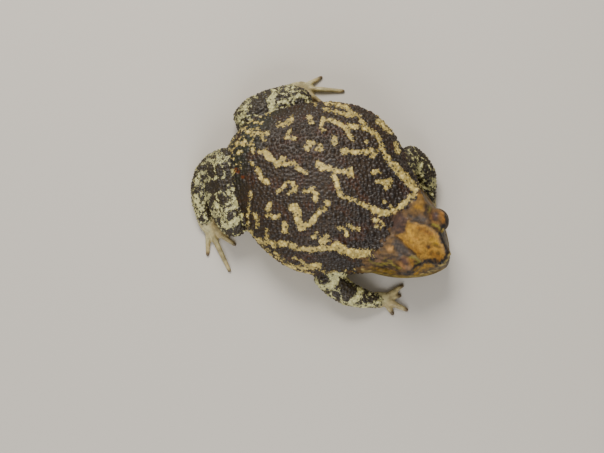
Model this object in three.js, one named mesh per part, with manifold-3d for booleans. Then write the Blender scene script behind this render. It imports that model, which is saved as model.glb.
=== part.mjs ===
// A giant toad with a bony casque head, crouched at rest on its belly, life size.
// Millimetres. +X runs to the snout, +Y to the toad's left, +Z up, and the floor is at Z = 0.
// Each named part of the body is one closed solid, parted from its neighbours by a thin gap.

import * as THREE from "three";
import { mergeVertices } from "three/addons/utils/BufferGeometryUtils.js";
import Module from "manifold-3d";

const wasm = await Module();
wasm.setup();

// Gap between neighbouring solids.
const PARTING = 0.3;

// Trunk: stations from the vent to inside the neck, with the spine's bend, half width, back and belly heights.
const TRUNK_STATIONS = [
  { x: -66, bend: 0, half: 14, top: 30, low: 9 },
  { x: -58, bend: 0, half: 22, top: 35.5, low: 4 },
  { x: -47, bend: 0, half: 31, top: 40, low: 0 },
  { x: -36, bend: 0.4, half: 40.5, top: 43.2, low: -1.2 },
  { x: -24, bend: 0.9, half: 48, top: 45.4, low: -1.6 },
  { x: -10, bend: 1.3, half: 52.5, top: 46.8, low: -1.6 },
  { x: 3, bend: 1.3, half: 53.4, top: 47, low: -1.6 },
  { x: 16, bend: 1, half: 50, top: 45.5, low: -1 },
  { x: 28, bend: 0.2, half: 43, top: 43, low: 1.5 },
  { x: 40, bend: -1, half: 34.5, top: 40, low: 4.5 },
  { x: 52, bend: -2.4, half: 27, top: 35.5, low: 6.5 },
];
const TRUNK_WIDEST_Z = 17;
const TRUNK_REAR_ROUNDING = 12;
const TRUNK_FRONT_ROUNDING = 5;
const TRUNK_TOP_POWER = 2.15;
const TRUNK_BELLY_POWER = 2.9;
const TRUNK_RINGS = 15;
const TRUNK_RING_POINTS = 22;

// Head, in its own frame: the nape is at zero, the snout tip at HEAD_LENGTH, turned a little to the right.
const NAPE = new THREE.Vector3(45, -2.3, 0);
const HEAD_YAW = THREE.MathUtils.degToRad(-7.8);
const HEAD_LENGTH = 39;
const HEAD_OVERLAP = 9;
const JAW_HALF_WIDTH = 31;
const JAW_TAPER_POWER = 1.9;
const JAW_ROUND_POWER = 1.4;
const LIP_Z = 11;
const HEAD_STATIONS = [
  { x: -9, crest: 18, top: 35, chin: 6, dip: 0 },
  { x: 0, crest: 22.5, top: 38.6, chin: 6, dip: 0.5 },
  { x: 9, crest: 17, top: 38.8, chin: 6, dip: 1.6 },
  { x: 18, crest: 11.5, top: 37.4, chin: 6, dip: 1.8 },
  { x: 25, crest: 8.8, top: 34.8, chin: 6.3, dip: 1.2 },
  { x: 31, crest: 6.4, top: 31.2, chin: 6.8, dip: 0.8 },
  { x: 36, crest: 4.2, top: 26.8, chin: 8, dip: 0.5 },
  { x: 38.6, crest: 2.4, top: 22.6, chin: 10, dip: 0.2 },
];
const SNOUT_ROUNDING = 2.2;
const SNOUT_Z = 15;
const HEAD_REAR_Z = 22;
const HEAD_RINGS = 14;
const HEAD_RING_POINTS = 24;

// Eyes, the swelling of the cheeks round them, and the lids that roof them, in the head's frame.
const EYE = { x: 18.8, y: 16.1, z: 28.4, radius: 6.2 };
const ORBIT = { x: 18, reach: 10, below: 1.6, beside: 4.4 };
const LID = { x: 18.4, y: 15.2, z: 30.6, long: 8.2, across: 6.8, high: 7 };
const EYE_SOCKET_GAP = 0.35;

// Limb sections: half width and half height along a segment, from 0 at its root to 1 at its end.
const UPPER_ARM = [[0, 9.5, 9.5], [0.5, 8.6, 8.6], [1, 7.8, 7.6]];
const FOREARM = [[0, 7.8, 7.6], [0.3, 8, 7.6], [0.65, 6.6, 6], [1, 4.2, 3.4]];
const HAND = [[0, 4.4, 3], [0.5, 5.2, 2.6], [1, 4.6, 2.2]];
const THIGH = [[0, 13.5, 13], [0.5, 13, 12.5], [1, 11, 11]];
const SHANK = [[0, 10.4, 11.4], [0.4, 11.2, 11.8], [0.75, 8.8, 9.4], [1, 6.4, 7]];
const TARSUS = [[0, 6.4, 7], [0.4, 6.2, 6.4], [0.8, 5.6, 4.8], [1, 5, 3.8]];
const FOOT = [[0, 5, 3.4], [0.5, 5.4, 2.8], [1, 4.8, 2.2]];
const TOE_RADII = [
  [0, 2.2, 2.1], [0.28, 1.6, 1.6], [0.5, 1.75, 1.7], [0.72, 1.35, 1.35], [0.93, 1.5, 1.4], [1, 1.2, 1.1],
];
const FINGER_RADII = [
  [0, 2.5, 2.3], [0.3, 1.9, 1.8], [0.52, 2, 1.9], [0.74, 1.55, 1.5], [0.93, 1.7, 1.55], [1, 1.3, 1.2],
];
const WEB_REACH = 0.46;
const WEB_NOTCH = 0.3;
const WEB_TOP = 1.3;

// Where each limb's joints and digit tips are, as the toad lies.
const POSE = {
  left: {
    arm: [[31, 25, 24], [35.5, 41.5, 12]],
    forearm: [[35.5, 41.5, 12], [46.5, 37, 9.2], [55.5, 26.5, 4.8]],
    hand: [[55.5, 26.5, 3.4], [58, 20, 2.4]],
    fingers: [[53, 9.5], [60, 7.5], [67, 8.5], [68, 15.5]],
    thigh: [[-58, 19.5, 15.5], [-43, 39.5, 13.5]],
    shank: [[-42, 39.5, 16], [-54, 32, 14], [-67, 20, 9.5]],
    tarsus: [[-67.5, 19.5, 8.6], [-65.2, 28.5, 8], [-57.5, 38, 6.8], [-49.5, 47.4, 5]],
    foot: [[-49.5, 47.4, 4.2], [-45, 53, 2.8]],
    toes: [[-39.5, 48.5], [-34.5, 48.6], [-27.5, 50.5], [-19.7, 64.5], [-37, 66.2]],
  },
  right: {
    arm: [[29, -25, 24], [22.5, -45.5, 12]],
    forearm: [[22.5, -46.3, 12], [38, -49.2, 9.4], [54.5, -45, 4.8]],
    hand: [[54, -45, 3.4], [58.5, -41.5, 2.4]],
    fingers: [[65.5, -28], [67, -34.5], [75, -40.8], [68, -47]],
    thigh: [[-60, -17, 19], [-45.5, -38.5, 16]],
    shank: [[-42.5, -41, 16], [-55.5, -29.5, 14.5], [-69, -15, 9.5]],
    tarsus: [[-70.5, -14.8, 8.6], [-72.6, -24, 8], [-68.6, -36, 6.8], [-60.6, -46, 5]],
    foot: [[-60.6, -46, 4.2], [-56, -50, 2.8]],
    toes: [[-47.5, -46], [-40.5, -48], [-35.3, -52.7], [-30.4, -69.4], [-48, -66.4]],
  },
};
const LIMB_MESH = { rings: 5, points: 10, caps: 2 };
const DIGIT_MESH = { rings: 3, points: 6, caps: 1 };

const COLOURS = { skin: 0x4a3a26, casque: 0x8a6430, digits: 0xb9b592, eye: 0x2a160c };

// Catmull-Rom value of one field of a list of stations at x.
function stationValue(stations, field, x) {
  const last = stations.length - 1;
  let i = stations.findIndex((s) => s.x > x) - 1;
  i = i === -2 ? last - 1 : Math.max(0, i);
  const at = (k) => stations[THREE.MathUtils.clamp(k, 0, last)];
  const [p0, p1, p2, p3] = [at(i - 1), at(i), at(i + 1), at(i + 2)];
  const t = THREE.MathUtils.clamp((x - p1.x) / (p2.x - p1.x), 0, 1);
  const slope = (a, b) => (a === b ? 0 : ((b[field] - a[field]) / (b.x - a.x)) * (p2.x - p1.x));
  const [m1, m2] = [slope(p0, p2), slope(p1, p3)];
  const [t2, t3] = [t * t, t * t * t];
  return (
    p1[field] * (2 * t3 - 3 * t2 + 1) + m1 * (t3 - 2 * t2 + t) +
    p2[field] * (3 * t2 - 2 * t3) + m2 * (t3 - t2)
  );
}

// Quarter-circle rise from 0 at the end of a solid to 1 at a distance of rounding from it.
function roundEnd(distance, rounding) {
  const t = THREE.MathUtils.clamp(1 - distance / rounding, 0, 1);
  return Math.sqrt(Math.max(0, 1 - t * t));
}

// Parameters from 0 to 1 that crowd towards both ends.
function crowdedSteps(count) {
  return Array.from({ length: count }, (_, i) => 0.5 - 0.5 * Math.cos((Math.PI * (i + 0.5)) / count));
}

// A closed solid through a list of rings of equal length, with a point at each end.
function loft(rings, startPoint, endPoint) {
  const around = rings[0].length;
  const vertices = [startPoint, ...rings.flat(), endPoint];
  const index = [];
  for (let k = 0; k < around; k++) {
    const next = (k + 1) % around;
    index.push(0, 1 + next, 1 + k);
    for (let r = 0; r < rings.length - 1; r++) {
      const [a, b] = [1 + r * around, 1 + (r + 1) * around];
      index.push(a + k, a + next, b + k, a + next, b + next, b + k);
    }
    const base = 1 + (rings.length - 1) * around;
    index.push(base + k, base + next, vertices.length - 1);
  }
  return new THREE.BufferGeometry().setFromPoints(vertices).setIndex(index);
}

// A manifold solid of a closed geometry, turned to face out.
function solidOf(geometry) {
  const bare = geometry.clone();
  ["normal", "uv"].forEach((name) => bare.deleteAttribute(name));
  const merged = mergeVertices(bare, 1e-4);
  const vertProperties = new Float32Array(merged.attributes.position.array);
  const triVerts = new Uint32Array(merged.index.array);
  if (signedVolume(vertProperties, triVerts) < 0)
    for (let i = 1; i < triVerts.length; i += 3)
      [triVerts[i], triVerts[i + 1]] = [triVerts[i + 1], triVerts[i]];
  return new wasm.Manifold(new wasm.Mesh({ numProp: 3, vertProperties, triVerts }));
}

// Volume of an indexed mesh, negative if its faces point in.
function signedVolume(vertices, triangles) {
  const [a, b, c] = [new THREE.Vector3(), new THREE.Vector3(), new THREE.Vector3()];
  let total = 0;
  for (let i = 0; i < triangles.length; i += 3) {
    [a, b, c].forEach((v, k) => v.fromArray(vertices, triangles[i + k] * 3));
    total += a.dot(b.cross(c)) / 6;
  }
  return total;
}

// A solid's geometry for a mesh.
function geometryOf(solid) {
  const mesh = solid.getMesh();
  return new THREE.BufferGeometry()
    .setAttribute("position", new THREE.BufferAttribute(new Float32Array(mesh.vertProperties), 3))
    .setIndex(new THREE.BufferAttribute(new Uint32Array(mesh.triVerts), 1));
}

// A box solid between two corners.
function boxSolid(low, high) {
  const [a, b] = [new THREE.Vector3(...low), new THREE.Vector3(...high)];
  const size = b.clone().sub(a);
  const middle = a.add(b).multiplyScalar(0.5);
  return solidOf(new THREE.BoxGeometry(size.x, size.y, size.z).translate(middle.x, middle.y, middle.z));
}

const ABOVE_FLOOR = boxSolid([-200, -200, 0], [200, 200, 200]);

// The trunk: broad, low and round, with its belly on the floor.
function trunk() {
  const [rear, front] = [TRUNK_STATIONS[0].x, TRUNK_STATIONS.at(-1).x];
  const ring = (x) => {
    const value = (field) => stationValue(TRUNK_STATIONS, field, x);
    const ends = roundEnd(x - rear, TRUNK_REAR_ROUNDING) * roundEnd(front - x, TRUNK_FRONT_ROUNDING);
    return Array.from({ length: TRUNK_RING_POINTS }, (_, k) => {
      const turn = (2 * Math.PI * k) / TRUNK_RING_POINTS;
      const [cos, sin] = [Math.cos(turn), Math.sin(turn)];
      const power = 2 / (sin > 0 ? TRUNK_TOP_POWER : TRUNK_BELLY_POWER);
      const reach = sin > 0 ? value("top") - TRUNK_WIDEST_Z : TRUNK_WIDEST_Z - value("low");
      const y = value("half") * Math.sign(cos) * Math.abs(cos) ** power;
      const z = reach * Math.sign(sin) * Math.abs(sin) ** power;
      return new THREE.Vector3(x, value("bend") + y * ends, TRUNK_WIDEST_Z + z * ends);
    });
  };
  const rings = crowdedSteps(TRUNK_RINGS).map((t) => ring(rear + (front - rear) * t));
  const end = (x) => new THREE.Vector3(x, 0, TRUNK_WIDEST_Z);
  return solidOf(loft(rings, end(rear), end(front)));
}

// Half width of the mouth's outline at a place along the head.
function jawHalfWidth(x) {
  const along = THREE.MathUtils.clamp((x + HEAD_OVERLAP) / (HEAD_LENGTH + HEAD_OVERLAP), 0, 1);
  return JAW_HALF_WIDTH * (1 - along ** JAW_TAPER_POWER) ** (1 / JAW_ROUND_POWER);
}

// One cross-section of the head: chin, flaring lip, hollow cheek, bony crest and a dished roof.
function headRing(x) {
  const value = (field) => stationValue(HEAD_STATIONS, field, x);
  const [crest, top, chin, dip] = ["crest", "top", "chin", "dip"].map(value);
  const lip = jawHalfWidth(x);
  const orbit = Math.exp(-(((x - ORBIT.x) / ORBIT.reach) ** 2));
  const side = [
    [0.62 * lip, chin + 0.5],
    [0.93 * lip, LIP_Z - 3.4],
    [lip, LIP_Z],
    [0.4 * crest + 0.6 * lip + orbit * ORBIT.below, 0.62 * LIP_Z + 0.38 * top],
    [0.8 * crest + 0.2 * lip + orbit * ORBIT.beside, 0.2 * LIP_Z + 0.8 * top],
    [crest, top],
    [0.45 * crest, top - 0.7 * dip],
  ];
  const outline = [
    [0, chin],
    ...side,
    [0, top - dip],
    ...side.map(([y, z]) => [-y, z]).reverse(),
  ];
  const points = outline.map(([y, z]) => new THREE.Vector3(x, y, z));
  const curve = new THREE.CatmullRomCurve3(points, true, "centripetal");
  const ends = roundEnd(HEAD_LENGTH - x, SNOUT_ROUNDING);
  return curve.getPoints(HEAD_RING_POINTS).slice(0, -1).map((p) =>
    new THREE.Vector3(x, p.y * ends, SNOUT_Z + (p.z - SNOUT_Z) * ends));
}

// Moves a solid from the head's frame to the body's.
function inHeadFrame(geometry) {
  return geometry.rotateZ(HEAD_YAW).translate(NAPE.x, NAPE.y, NAPE.z);
}

// The fleshy roof of one eye.
function lid(side) {
  const dome = new THREE.SphereGeometry(1, 12, 8).scale(LID.long, LID.across, LID.high);
  return solidOf(inHeadFrame(dome.translate(LID.x, side * LID.y, LID.z)));
}

// The head with its two lids, before it is parted from the trunk.
function head() {
  const whole = HEAD_LENGTH + HEAD_OVERLAP;
  const rings = crowdedSteps(HEAD_RINGS).map((t) => headRing(whole * t - HEAD_OVERLAP));
  const rear = new THREE.Vector3(-HEAD_OVERLAP - 0.5, 0, HEAD_REAR_Z);
  const tip = new THREE.Vector3(HEAD_LENGTH, 0, SNOUT_Z);
  return solidOf(inHeadFrame(loft(rings, rear, tip))).add(lid(1)).add(lid(-1));
}

// An eyeball, or the hollow it sits in.
function eye(side, grow) {
  const ball = new THREE.SphereGeometry(EYE.radius + grow, 14, 10);
  return solidOf(inHeadFrame(ball.translate(EYE.x, side * EYE.y, EYE.z)));
}

// A tapering limb segment along joints, round at both ends, grown by a distance.
// sections gives [share along, half width, half height], and mesh the counts of rings, points and cap rings.
function limb(joints, sections, grow, mesh = LIMB_MESH) {
  const { rings: ringCount, points: ringPoints, caps: capRings } = mesh;
  const path = joints.map((p) => new THREE.Vector3(...p));
  const curve = new THREE.CatmullRomCurve3(path, false, "centripetal");
  const stations = sections.map(([x, half, high]) => ({ x, half, high }));
  const frameAt = (t) => {
    const along = curve.getTangentAt(t);
    const across = new THREE.Vector3(0, 0, 1).cross(along).normalize();
    return { along, across, up: along.clone().cross(across) };
  };
  const ring = (t, centre, frame, scale) => {
    const half = (stationValue(stations, "half", t) + grow) * scale;
    const high = (stationValue(stations, "high", t) + grow) * scale;
    return Array.from({ length: ringPoints }, (_, k) => {
      const turn = (2 * Math.PI * k) / ringPoints;
      return centre.clone()
        .addScaledVector(frame.across, half * Math.cos(turn))
        .addScaledVector(frame.up, high * Math.sin(turn));
    });
  };
  // Rings of one rounded end, from its tip to its full width.
  const cap = (t, outward) => {
    const [centre, frame] = [curve.getPointAt(t), frameAt(t)];
    const reach = stationValue(stations, "half", t) + grow;
    const steps = Array.from({ length: capRings }, (_, k) => ((k + 1) / (capRings + 1)) * (Math.PI / 2));
    const rings = steps.map((a) =>
      ring(t, centre.clone().addScaledVector(frame.along, outward * reach * Math.cos(a)), frame, Math.sin(a)));
    return { tip: centre.clone().addScaledVector(frame.along, outward * reach), rings };
  };
  const [start, end] = [cap(0, -1), cap(1, 1)];
  const middle = Array.from({ length: ringCount }, (_, i) => i / (ringCount - 1))
    .map((t) => ring(t, curve.getPointAt(t), frameAt(t), 1));
  return solidOf(loft([...start.rings, ...middle, ...end.rings.reverse()], start.tip, end.tip));
}

// A digit from the hub of its hand or foot to its tip, arched a little off the floor.
function digit(hub, tip, radii, grow) {
  const [low, tall] = [radii.at(-1)[2] * 0.8, radii[0][2] * 0.85];
  const at = (share, z) => [
    THREE.MathUtils.lerp(hub[0], tip[0], share),
    THREE.MathUtils.lerp(hub[1], tip[1], share),
    z,
  ];
  const path = [at(0, tall), at(0.5, (low + tall) / 2 + 0.5), at(0.93, low)];
  return limb(path, radii, grow, DIGIT_MESH);
}

// The thin web between toes, reaching part of the way along them, with a hollow edge between each two.
function web(hub, tips) {
  const [cx, cy] = hub;
  const point = (tip, reach) => [cx + (tip[0] - cx) * reach, cy + (tip[1] - cy) * reach];
  const shape = new THREE.Shape();
  shape.moveTo(cx, cy);
  shape.lineTo(...point(tips[0], WEB_REACH));
  tips.slice(1).forEach((tip, i) => {
    const between = [(tip[0] + tips[i][0]) / 2, (tip[1] + tips[i][1]) / 2];
    shape.quadraticCurveTo(...point(between, WEB_NOTCH), ...point(tip, WEB_REACH));
  });
  shape.closePath();
  return solidOf(new THREE.ExtrudeGeometry(shape, { depth: WEB_TOP, bevelEnabled: false, curveSegments: 2 }));
}

// The largest of a solid's separate pieces, for a cut that leaves slivers.
function largest(solid) {
  return solid.decompose().reduce((best, s) => (s.volume() > best.volume() ? s : best));
}

// One leg's segments as { name, colour, make }, in the order in which they keep their full shape.
function legSegments(side, pose) {
  const hub = pose.foot[1];
  const webbed = (grow) => [web(hub, pose.toes), ...pose.toes.map((tip) => digit(hub, tip, TOE_RADII, grow))];
  return [
    segment(`foot_${side}`, COLOURS.digits, pose.foot, FOOT, webbed),
    segment(`tarsus_${side}`, COLOURS.skin, pose.tarsus, TARSUS),
    segment(`shank_${side}`, COLOURS.skin, pose.shank, SHANK),
    segment(`thigh_${side}`, COLOURS.skin, pose.thigh, THIGH),
  ];
}

// One arm's segments, in the same form and order.
function armSegments(side, pose) {
  const fingers = (grow) => pose.fingers.map((tip) => digit(pose.hand[1], tip, FINGER_RADII, grow));
  return [
    segment(`hand_${side}`, COLOURS.digits, pose.hand, HAND, fingers),
    segment(`forearm_${side}`, COLOURS.skin, pose.forearm, FOREARM),
    segment(`upper_arm_${side}`, COLOURS.skin, pose.arm, UPPER_ARM),
  ];
}

// One limb segment, whose make gives its solid grown by a distance, with what is joined to it.
function segment(name, colour, joints, sections, joined = () => []) {
  const make = (grow) => joined(grow).reduce((made, solid) => made.add(solid), limb(joints, sections, grow));
  return { name, colour, make };
}

// A named mesh of a solid, set from the body's frame.
function meshOf(name, solid, colour) {
  const material = new THREE.MeshStandardMaterial({ color: colour, roughness: 0.6, metalness: 0 });
  const mesh = new THREE.Mesh(geometryOf(solid), material);
  mesh.name = name;
  return mesh;
}

const toad = new THREE.Group();

// Adds a solid as a named mesh, cut to the floor and clear of the solids that were there first.
function place(name, colour, solid, earlier = []) {
  const parted = earlier.reduce((made, other) => made.subtract(other), solid.intersect(ABOVE_FLOOR));
  toad.add(meshOf(name, largest(parted), colour));
}

// A block of the head's frame between two distances from the nape.
function headBlock(rear, front) {
  return solidOf(inHeadFrame(new THREE.BoxGeometry(front - rear, 300, 300).translate((rear + front) / 2, 0, 0)));
}

// The four limbs keep their full shape. Trunk and head are one form, cut clear of them and parted at the neck.
const limbs = Object.entries(POSE).flatMap(([side, pose]) => [legSegments(side, pose), armSegments(side, pose)]);
limbs.forEach((segments) =>
  segments.forEach(({ name, colour, make }, i) => {
    const earlier = segments.slice(0, i).map((other) => other.make(PARTING));
    place(name, colour, make(0), earlier);
  }),
);

const body = head().add(trunk());
const limbRoom = limbs.flat().map((other) => other.make(PARTING));
const sockets = [1, -1].map((side) => eye(side, EYE_SOCKET_GAP));
place("trunk", COLOURS.skin, body.intersect(headBlock(-300, -PARTING / 2)), limbRoom);
place("head", COLOURS.casque, body.intersect(headBlock(PARTING / 2, 300)), [...sockets, ...limbRoom]);
place("eye_left", COLOURS.eye, eye(1, 0));
place("eye_right", COLOURS.eye, eye(-1, 0));

// The origin is set under the middle of the toad's box.
const box = new THREE.Box3().setFromObject(toad);
const middle = box.getCenter(new THREE.Vector3());
toad.position.set(-middle.x, -middle.y, -box.min.z);

export default toad;
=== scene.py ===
"""A giant toad at rest, seen from above: one warty skin over the flesh solids, and two eyes."""
import logging
import math
from dataclasses import dataclass, field
from enum import Enum

import bmesh
import bpy
import numpy as np
from mathutils import Matrix, Vector
from mathutils.bvhtree import BVHTree
from mathutils.kdtree import KDTree


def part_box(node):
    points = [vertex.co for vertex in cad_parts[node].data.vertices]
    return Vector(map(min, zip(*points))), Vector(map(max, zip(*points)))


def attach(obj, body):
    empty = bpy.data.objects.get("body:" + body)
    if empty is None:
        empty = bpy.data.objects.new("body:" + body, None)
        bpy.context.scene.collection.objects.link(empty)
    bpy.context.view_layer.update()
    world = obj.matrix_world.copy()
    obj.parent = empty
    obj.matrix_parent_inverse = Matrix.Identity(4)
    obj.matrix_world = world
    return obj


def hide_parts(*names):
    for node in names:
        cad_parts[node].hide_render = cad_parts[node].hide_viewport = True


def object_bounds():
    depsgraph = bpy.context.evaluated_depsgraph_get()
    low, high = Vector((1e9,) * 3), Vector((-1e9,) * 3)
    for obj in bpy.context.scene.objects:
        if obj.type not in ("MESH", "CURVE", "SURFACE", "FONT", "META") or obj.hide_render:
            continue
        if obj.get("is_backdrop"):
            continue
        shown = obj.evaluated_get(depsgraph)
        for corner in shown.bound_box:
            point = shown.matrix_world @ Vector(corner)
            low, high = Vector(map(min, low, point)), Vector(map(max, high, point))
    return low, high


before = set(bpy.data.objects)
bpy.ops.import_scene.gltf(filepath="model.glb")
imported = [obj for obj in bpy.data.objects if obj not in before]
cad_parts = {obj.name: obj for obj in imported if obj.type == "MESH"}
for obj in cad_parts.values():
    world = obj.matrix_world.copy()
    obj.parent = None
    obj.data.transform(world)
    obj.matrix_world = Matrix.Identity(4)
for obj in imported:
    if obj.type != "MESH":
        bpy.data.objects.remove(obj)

LOG = logging.getLogger("toad")
MM = 0.001
ROOT = "root"
STROKE_REACH = 7.0
Array = np.ndarray
Point = tuple[float, float]
Colour = tuple[float, float, float]
Cell = tuple[int, int, int]


def srgb(red: int, green: int, blue: int) -> Colour:
    """A colour of 0 to 255 as linear light."""
    return tuple(((c / 255 + 0.055) / 1.055) ** 2.4 if c > 10 else c / 3294.6 for c in (red, green, blue))


def smoothstep(low: float, high: float, value: Array) -> Array:
    """0 at low, 1 at high, and a smooth rise between."""
    t = np.clip((value - low) / (high - low), 0, 1)
    return t * t * (3 - 2 * t)


def bell(value: Array, width: float) -> Array:
    """1 at 0, falling to nothing past about twice the width."""
    return np.exp(-((value / width) ** 2))


def lerp(a: Array, b: Array | Colour, weight: Array) -> Array:
    """Rows of a turned into b by a weight for each row."""
    return a + (np.array(b) - a) * weight[:, None]


def spread(colour: Colour, count: int) -> Array:
    """One colour for each of so many points."""
    return np.tile(np.array(colour), (count, 1))


def layered(base: Array, *layers: tuple[Array | Colour, Array]) -> Array:
    """Rows of colours with layers laid over them, each a colour and its weights."""
    for colour, weight in layers:
        base = lerp(base, colour, weight)
    return base


def add_object(name: str, data: bpy.types.ID) -> bpy.types.Object:
    """Puts a new object in the scene."""
    obj = bpy.data.objects.new(name, data)
    bpy.context.scene.collection.objects.link(obj)
    return obj


def path_distance(points: Array, path: Array, reach: float = STROKE_REACH) -> Array:
    """How far points of a plane are from a broken line.

    Args:
        points: rows of x and y.
        path: the line's points, or a single one for a dot.
        reach: the farthest distance worth knowing.

    Returns:
        A distance for each point, at most reach.
    """
    best = np.full(len(points), reach)
    inside = np.all((points > path.min(0) - reach) & (points < path.max(0) + reach), axis=1)
    near = points[inside]
    found = np.full(len(near), reach)
    if len(path) == 1:
        found = np.minimum(found, np.linalg.norm(near - path[0], axis=1))
    for a, b in zip(path[:-1], path[1:]):
        along = b - a
        t = np.clip((near - a) @ along / max(float(along @ along), 1e-9), 0, 1)
        found = np.minimum(found, np.linalg.norm(near - a - t[:, None] * along, axis=1))
    best[inside] = found
    return best


def outline_distance(points: Array, outline: Array) -> Array:
    """How far points of a plane are outside a closed outline, negative inside."""
    far = path_distance(points, np.vstack([outline, outline[:1]]))
    return np.where(inside_outline(points, outline), -far, far)


def inside_outline(points: Array, outline: Array) -> Array:
    """True for the points of a plane that lie in a closed outline."""
    x, y = points[:, 0], points[:, 1]
    odd = np.zeros(len(points), dtype=bool)
    for (x0, y0), (x1, y1) in zip(outline, np.roll(outline, -1, axis=0)):
        if y0 != y1:
            crosses = (y0 > y) != (y1 > y)
            odd ^= crosses & (x < (x1 - x0) * (y - y0) / (y1 - y0) + x0)
    return odd


class Side(Enum):
    """The toad's own left and right."""

    LEFT = 1
    RIGHT = -1

    @property
    def word(self) -> str:
        """The side's name, as the frame's nodes use it."""
        return self.name.lower()


class Flesh(Enum):
    """The kinds of flesh, by how much their facets are smoothed away."""

    TRUNK = 110
    HEAD = 18
    LIMB = 24
    DIGIT = 5


@dataclass(frozen=True)
class ToadFrame:
    """The toad's own measure in millimetres: +X forward, its left on +Y, and its floor at 0.

    The head has a frame of its own that starts at the nape and is turned a little to the right.
    """

    nape: Point = (45.0, -2.3)
    head_turn: float = math.radians(-7.8)
    eye: tuple[float, float, float] = (18.8, 16.1, 28.4)

    def of_head(self, points: Array) -> Array:
        """Points of the toad's frame in the head's frame."""
        c, s = math.cos(self.head_turn), math.sin(self.head_turn)
        moved = points - np.array([*self.nape, 0.0])
        x, y, z = moved.T
        return np.column_stack([x * c + y * s, y * c - x * s, z])

    def turn(self, direction: tuple[float, float, float]) -> Array:
        """A direction of the head's frame in the toad's frame."""
        c, s = math.cos(self.head_turn), math.sin(self.head_turn)
        x, y, z = direction
        return np.array([x * c - y * s, x * s + y * c, z])

    def from_head(self, point: tuple[float, float, float]) -> Array:
        """A point of the head's frame in the toad's frame."""
        return self.turn(point) + np.array([*self.nape, 0.0])

    def eye_centre(self, side: Side) -> Array:
        """The middle of an eyeball in the toad's frame."""
        x, y, z = self.eye
        return self.from_head((x, y * side.value, z))

    def shift(self) -> Array:
        """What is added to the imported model's millimetres to give the toad's own."""
        low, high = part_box("eye_left")
        packed = np.array((low + high) / 2) / MM
        gap = self.eye_centre(Side.LEFT) - packed
        return np.array([gap[0], gap[1], 0.0])


@dataclass(frozen=True)
class Viewpoint:
    """The photograph's camera, placed by one point of the toad and the pixel that shows it."""

    width: int = 604
    height: int = 453
    mm_per_pixel: float = 0.593
    distance: float = 750.0
    sensor: float = 36.0
    roll: float = math.radians(27)
    tilt: float = math.radians(10)
    anchor: tuple[float, float, float] = (0.0, 2.0, 25.0)
    anchor_pixel: Point = (330.0, 185.0)

    def axes(self) -> tuple[Array, Array, Array]:
        """The camera's right, up and backward directions in the toad's frame."""
        right = np.array([math.cos(self.roll), math.sin(self.roll), 0.0])
        down = np.array([math.sin(self.roll), -math.cos(self.roll), 0.0])
        back = np.array([0.0, 0.0, math.cos(self.tilt)]) + down * math.sin(self.tilt)
        return right, np.cross(back, right), back

    def position(self) -> Array:
        """Where the camera is in the toad's frame."""
        right, up, back = self.axes()
        aside = (self.anchor_pixel[0] - self.width / 2) * self.mm_per_pixel
        below = (self.anchor_pixel[1] - self.height / 2) * self.mm_per_pixel
        return np.array(self.anchor) - right * aside + up * below + back * self.distance

    def on_sheet(self, points: Array, height: float) -> Array:
        """Where the camera's lines through points meet a level sheet.

        Args:
            points: rows of the toad's frame.
            height: the sheet's height above the floor.

        Returns:
            Rows of x and y on the sheet.
        """
        eye = self.position()
        along = (eye[2] - height) / (eye[2] - points[:, 2])
        return eye[:2] + (points[:, :2] - eye[:2]) * along[:, None]

    def from_photo(self, pixels: tuple[Point, ...], height: float) -> Array:
        """Where the camera's lines through pixels of the photograph meet a level sheet.

        Args:
            pixels: places in the photograph, from its upper left corner.
            height: the sheet's height above the floor.

        Returns:
            Rows of x and y on the sheet.
        """
        right, up, back = self.axes()
        aside, below = ((np.array(pixels) - (self.width / 2, self.height / 2)) * self.mm_per_pixel).T
        ways = right * aside[:, None] - up * below[:, None] - back * self.distance
        eye = self.position()
        return eye[:2] + ways[:, :2] * ((height - eye[2]) / ways[:, 2])[:, None]

    def facing(self, points: Array, normals: Array) -> Array:
        """How squarely each point faces the camera, from -1 to 1."""
        way = self.position() - points
        return np.einsum("ij,ij->i", way, normals) / np.linalg.norm(way, axis=1)

    def build(self, shift: Array) -> None:
        """Places the scene's camera.

        Args:
            shift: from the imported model's millimetres to the toad's own.
        """
        right, up, back = self.axes()
        data = bpy.data.cameras.new("camera")
        data.sensor_width = self.sensor
        data.lens = self.distance / self.mm_per_pixel * self.sensor / self.width
        data.dof.use_dof = False
        camera = add_object("camera", data)
        spin = Matrix([right, up, back]).transposed().to_4x4()
        place = (self.position() - shift) * MM
        camera.matrix_world = Matrix.Translation(Vector(place)) @ spin
        bpy.context.scene.camera = camera


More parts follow.
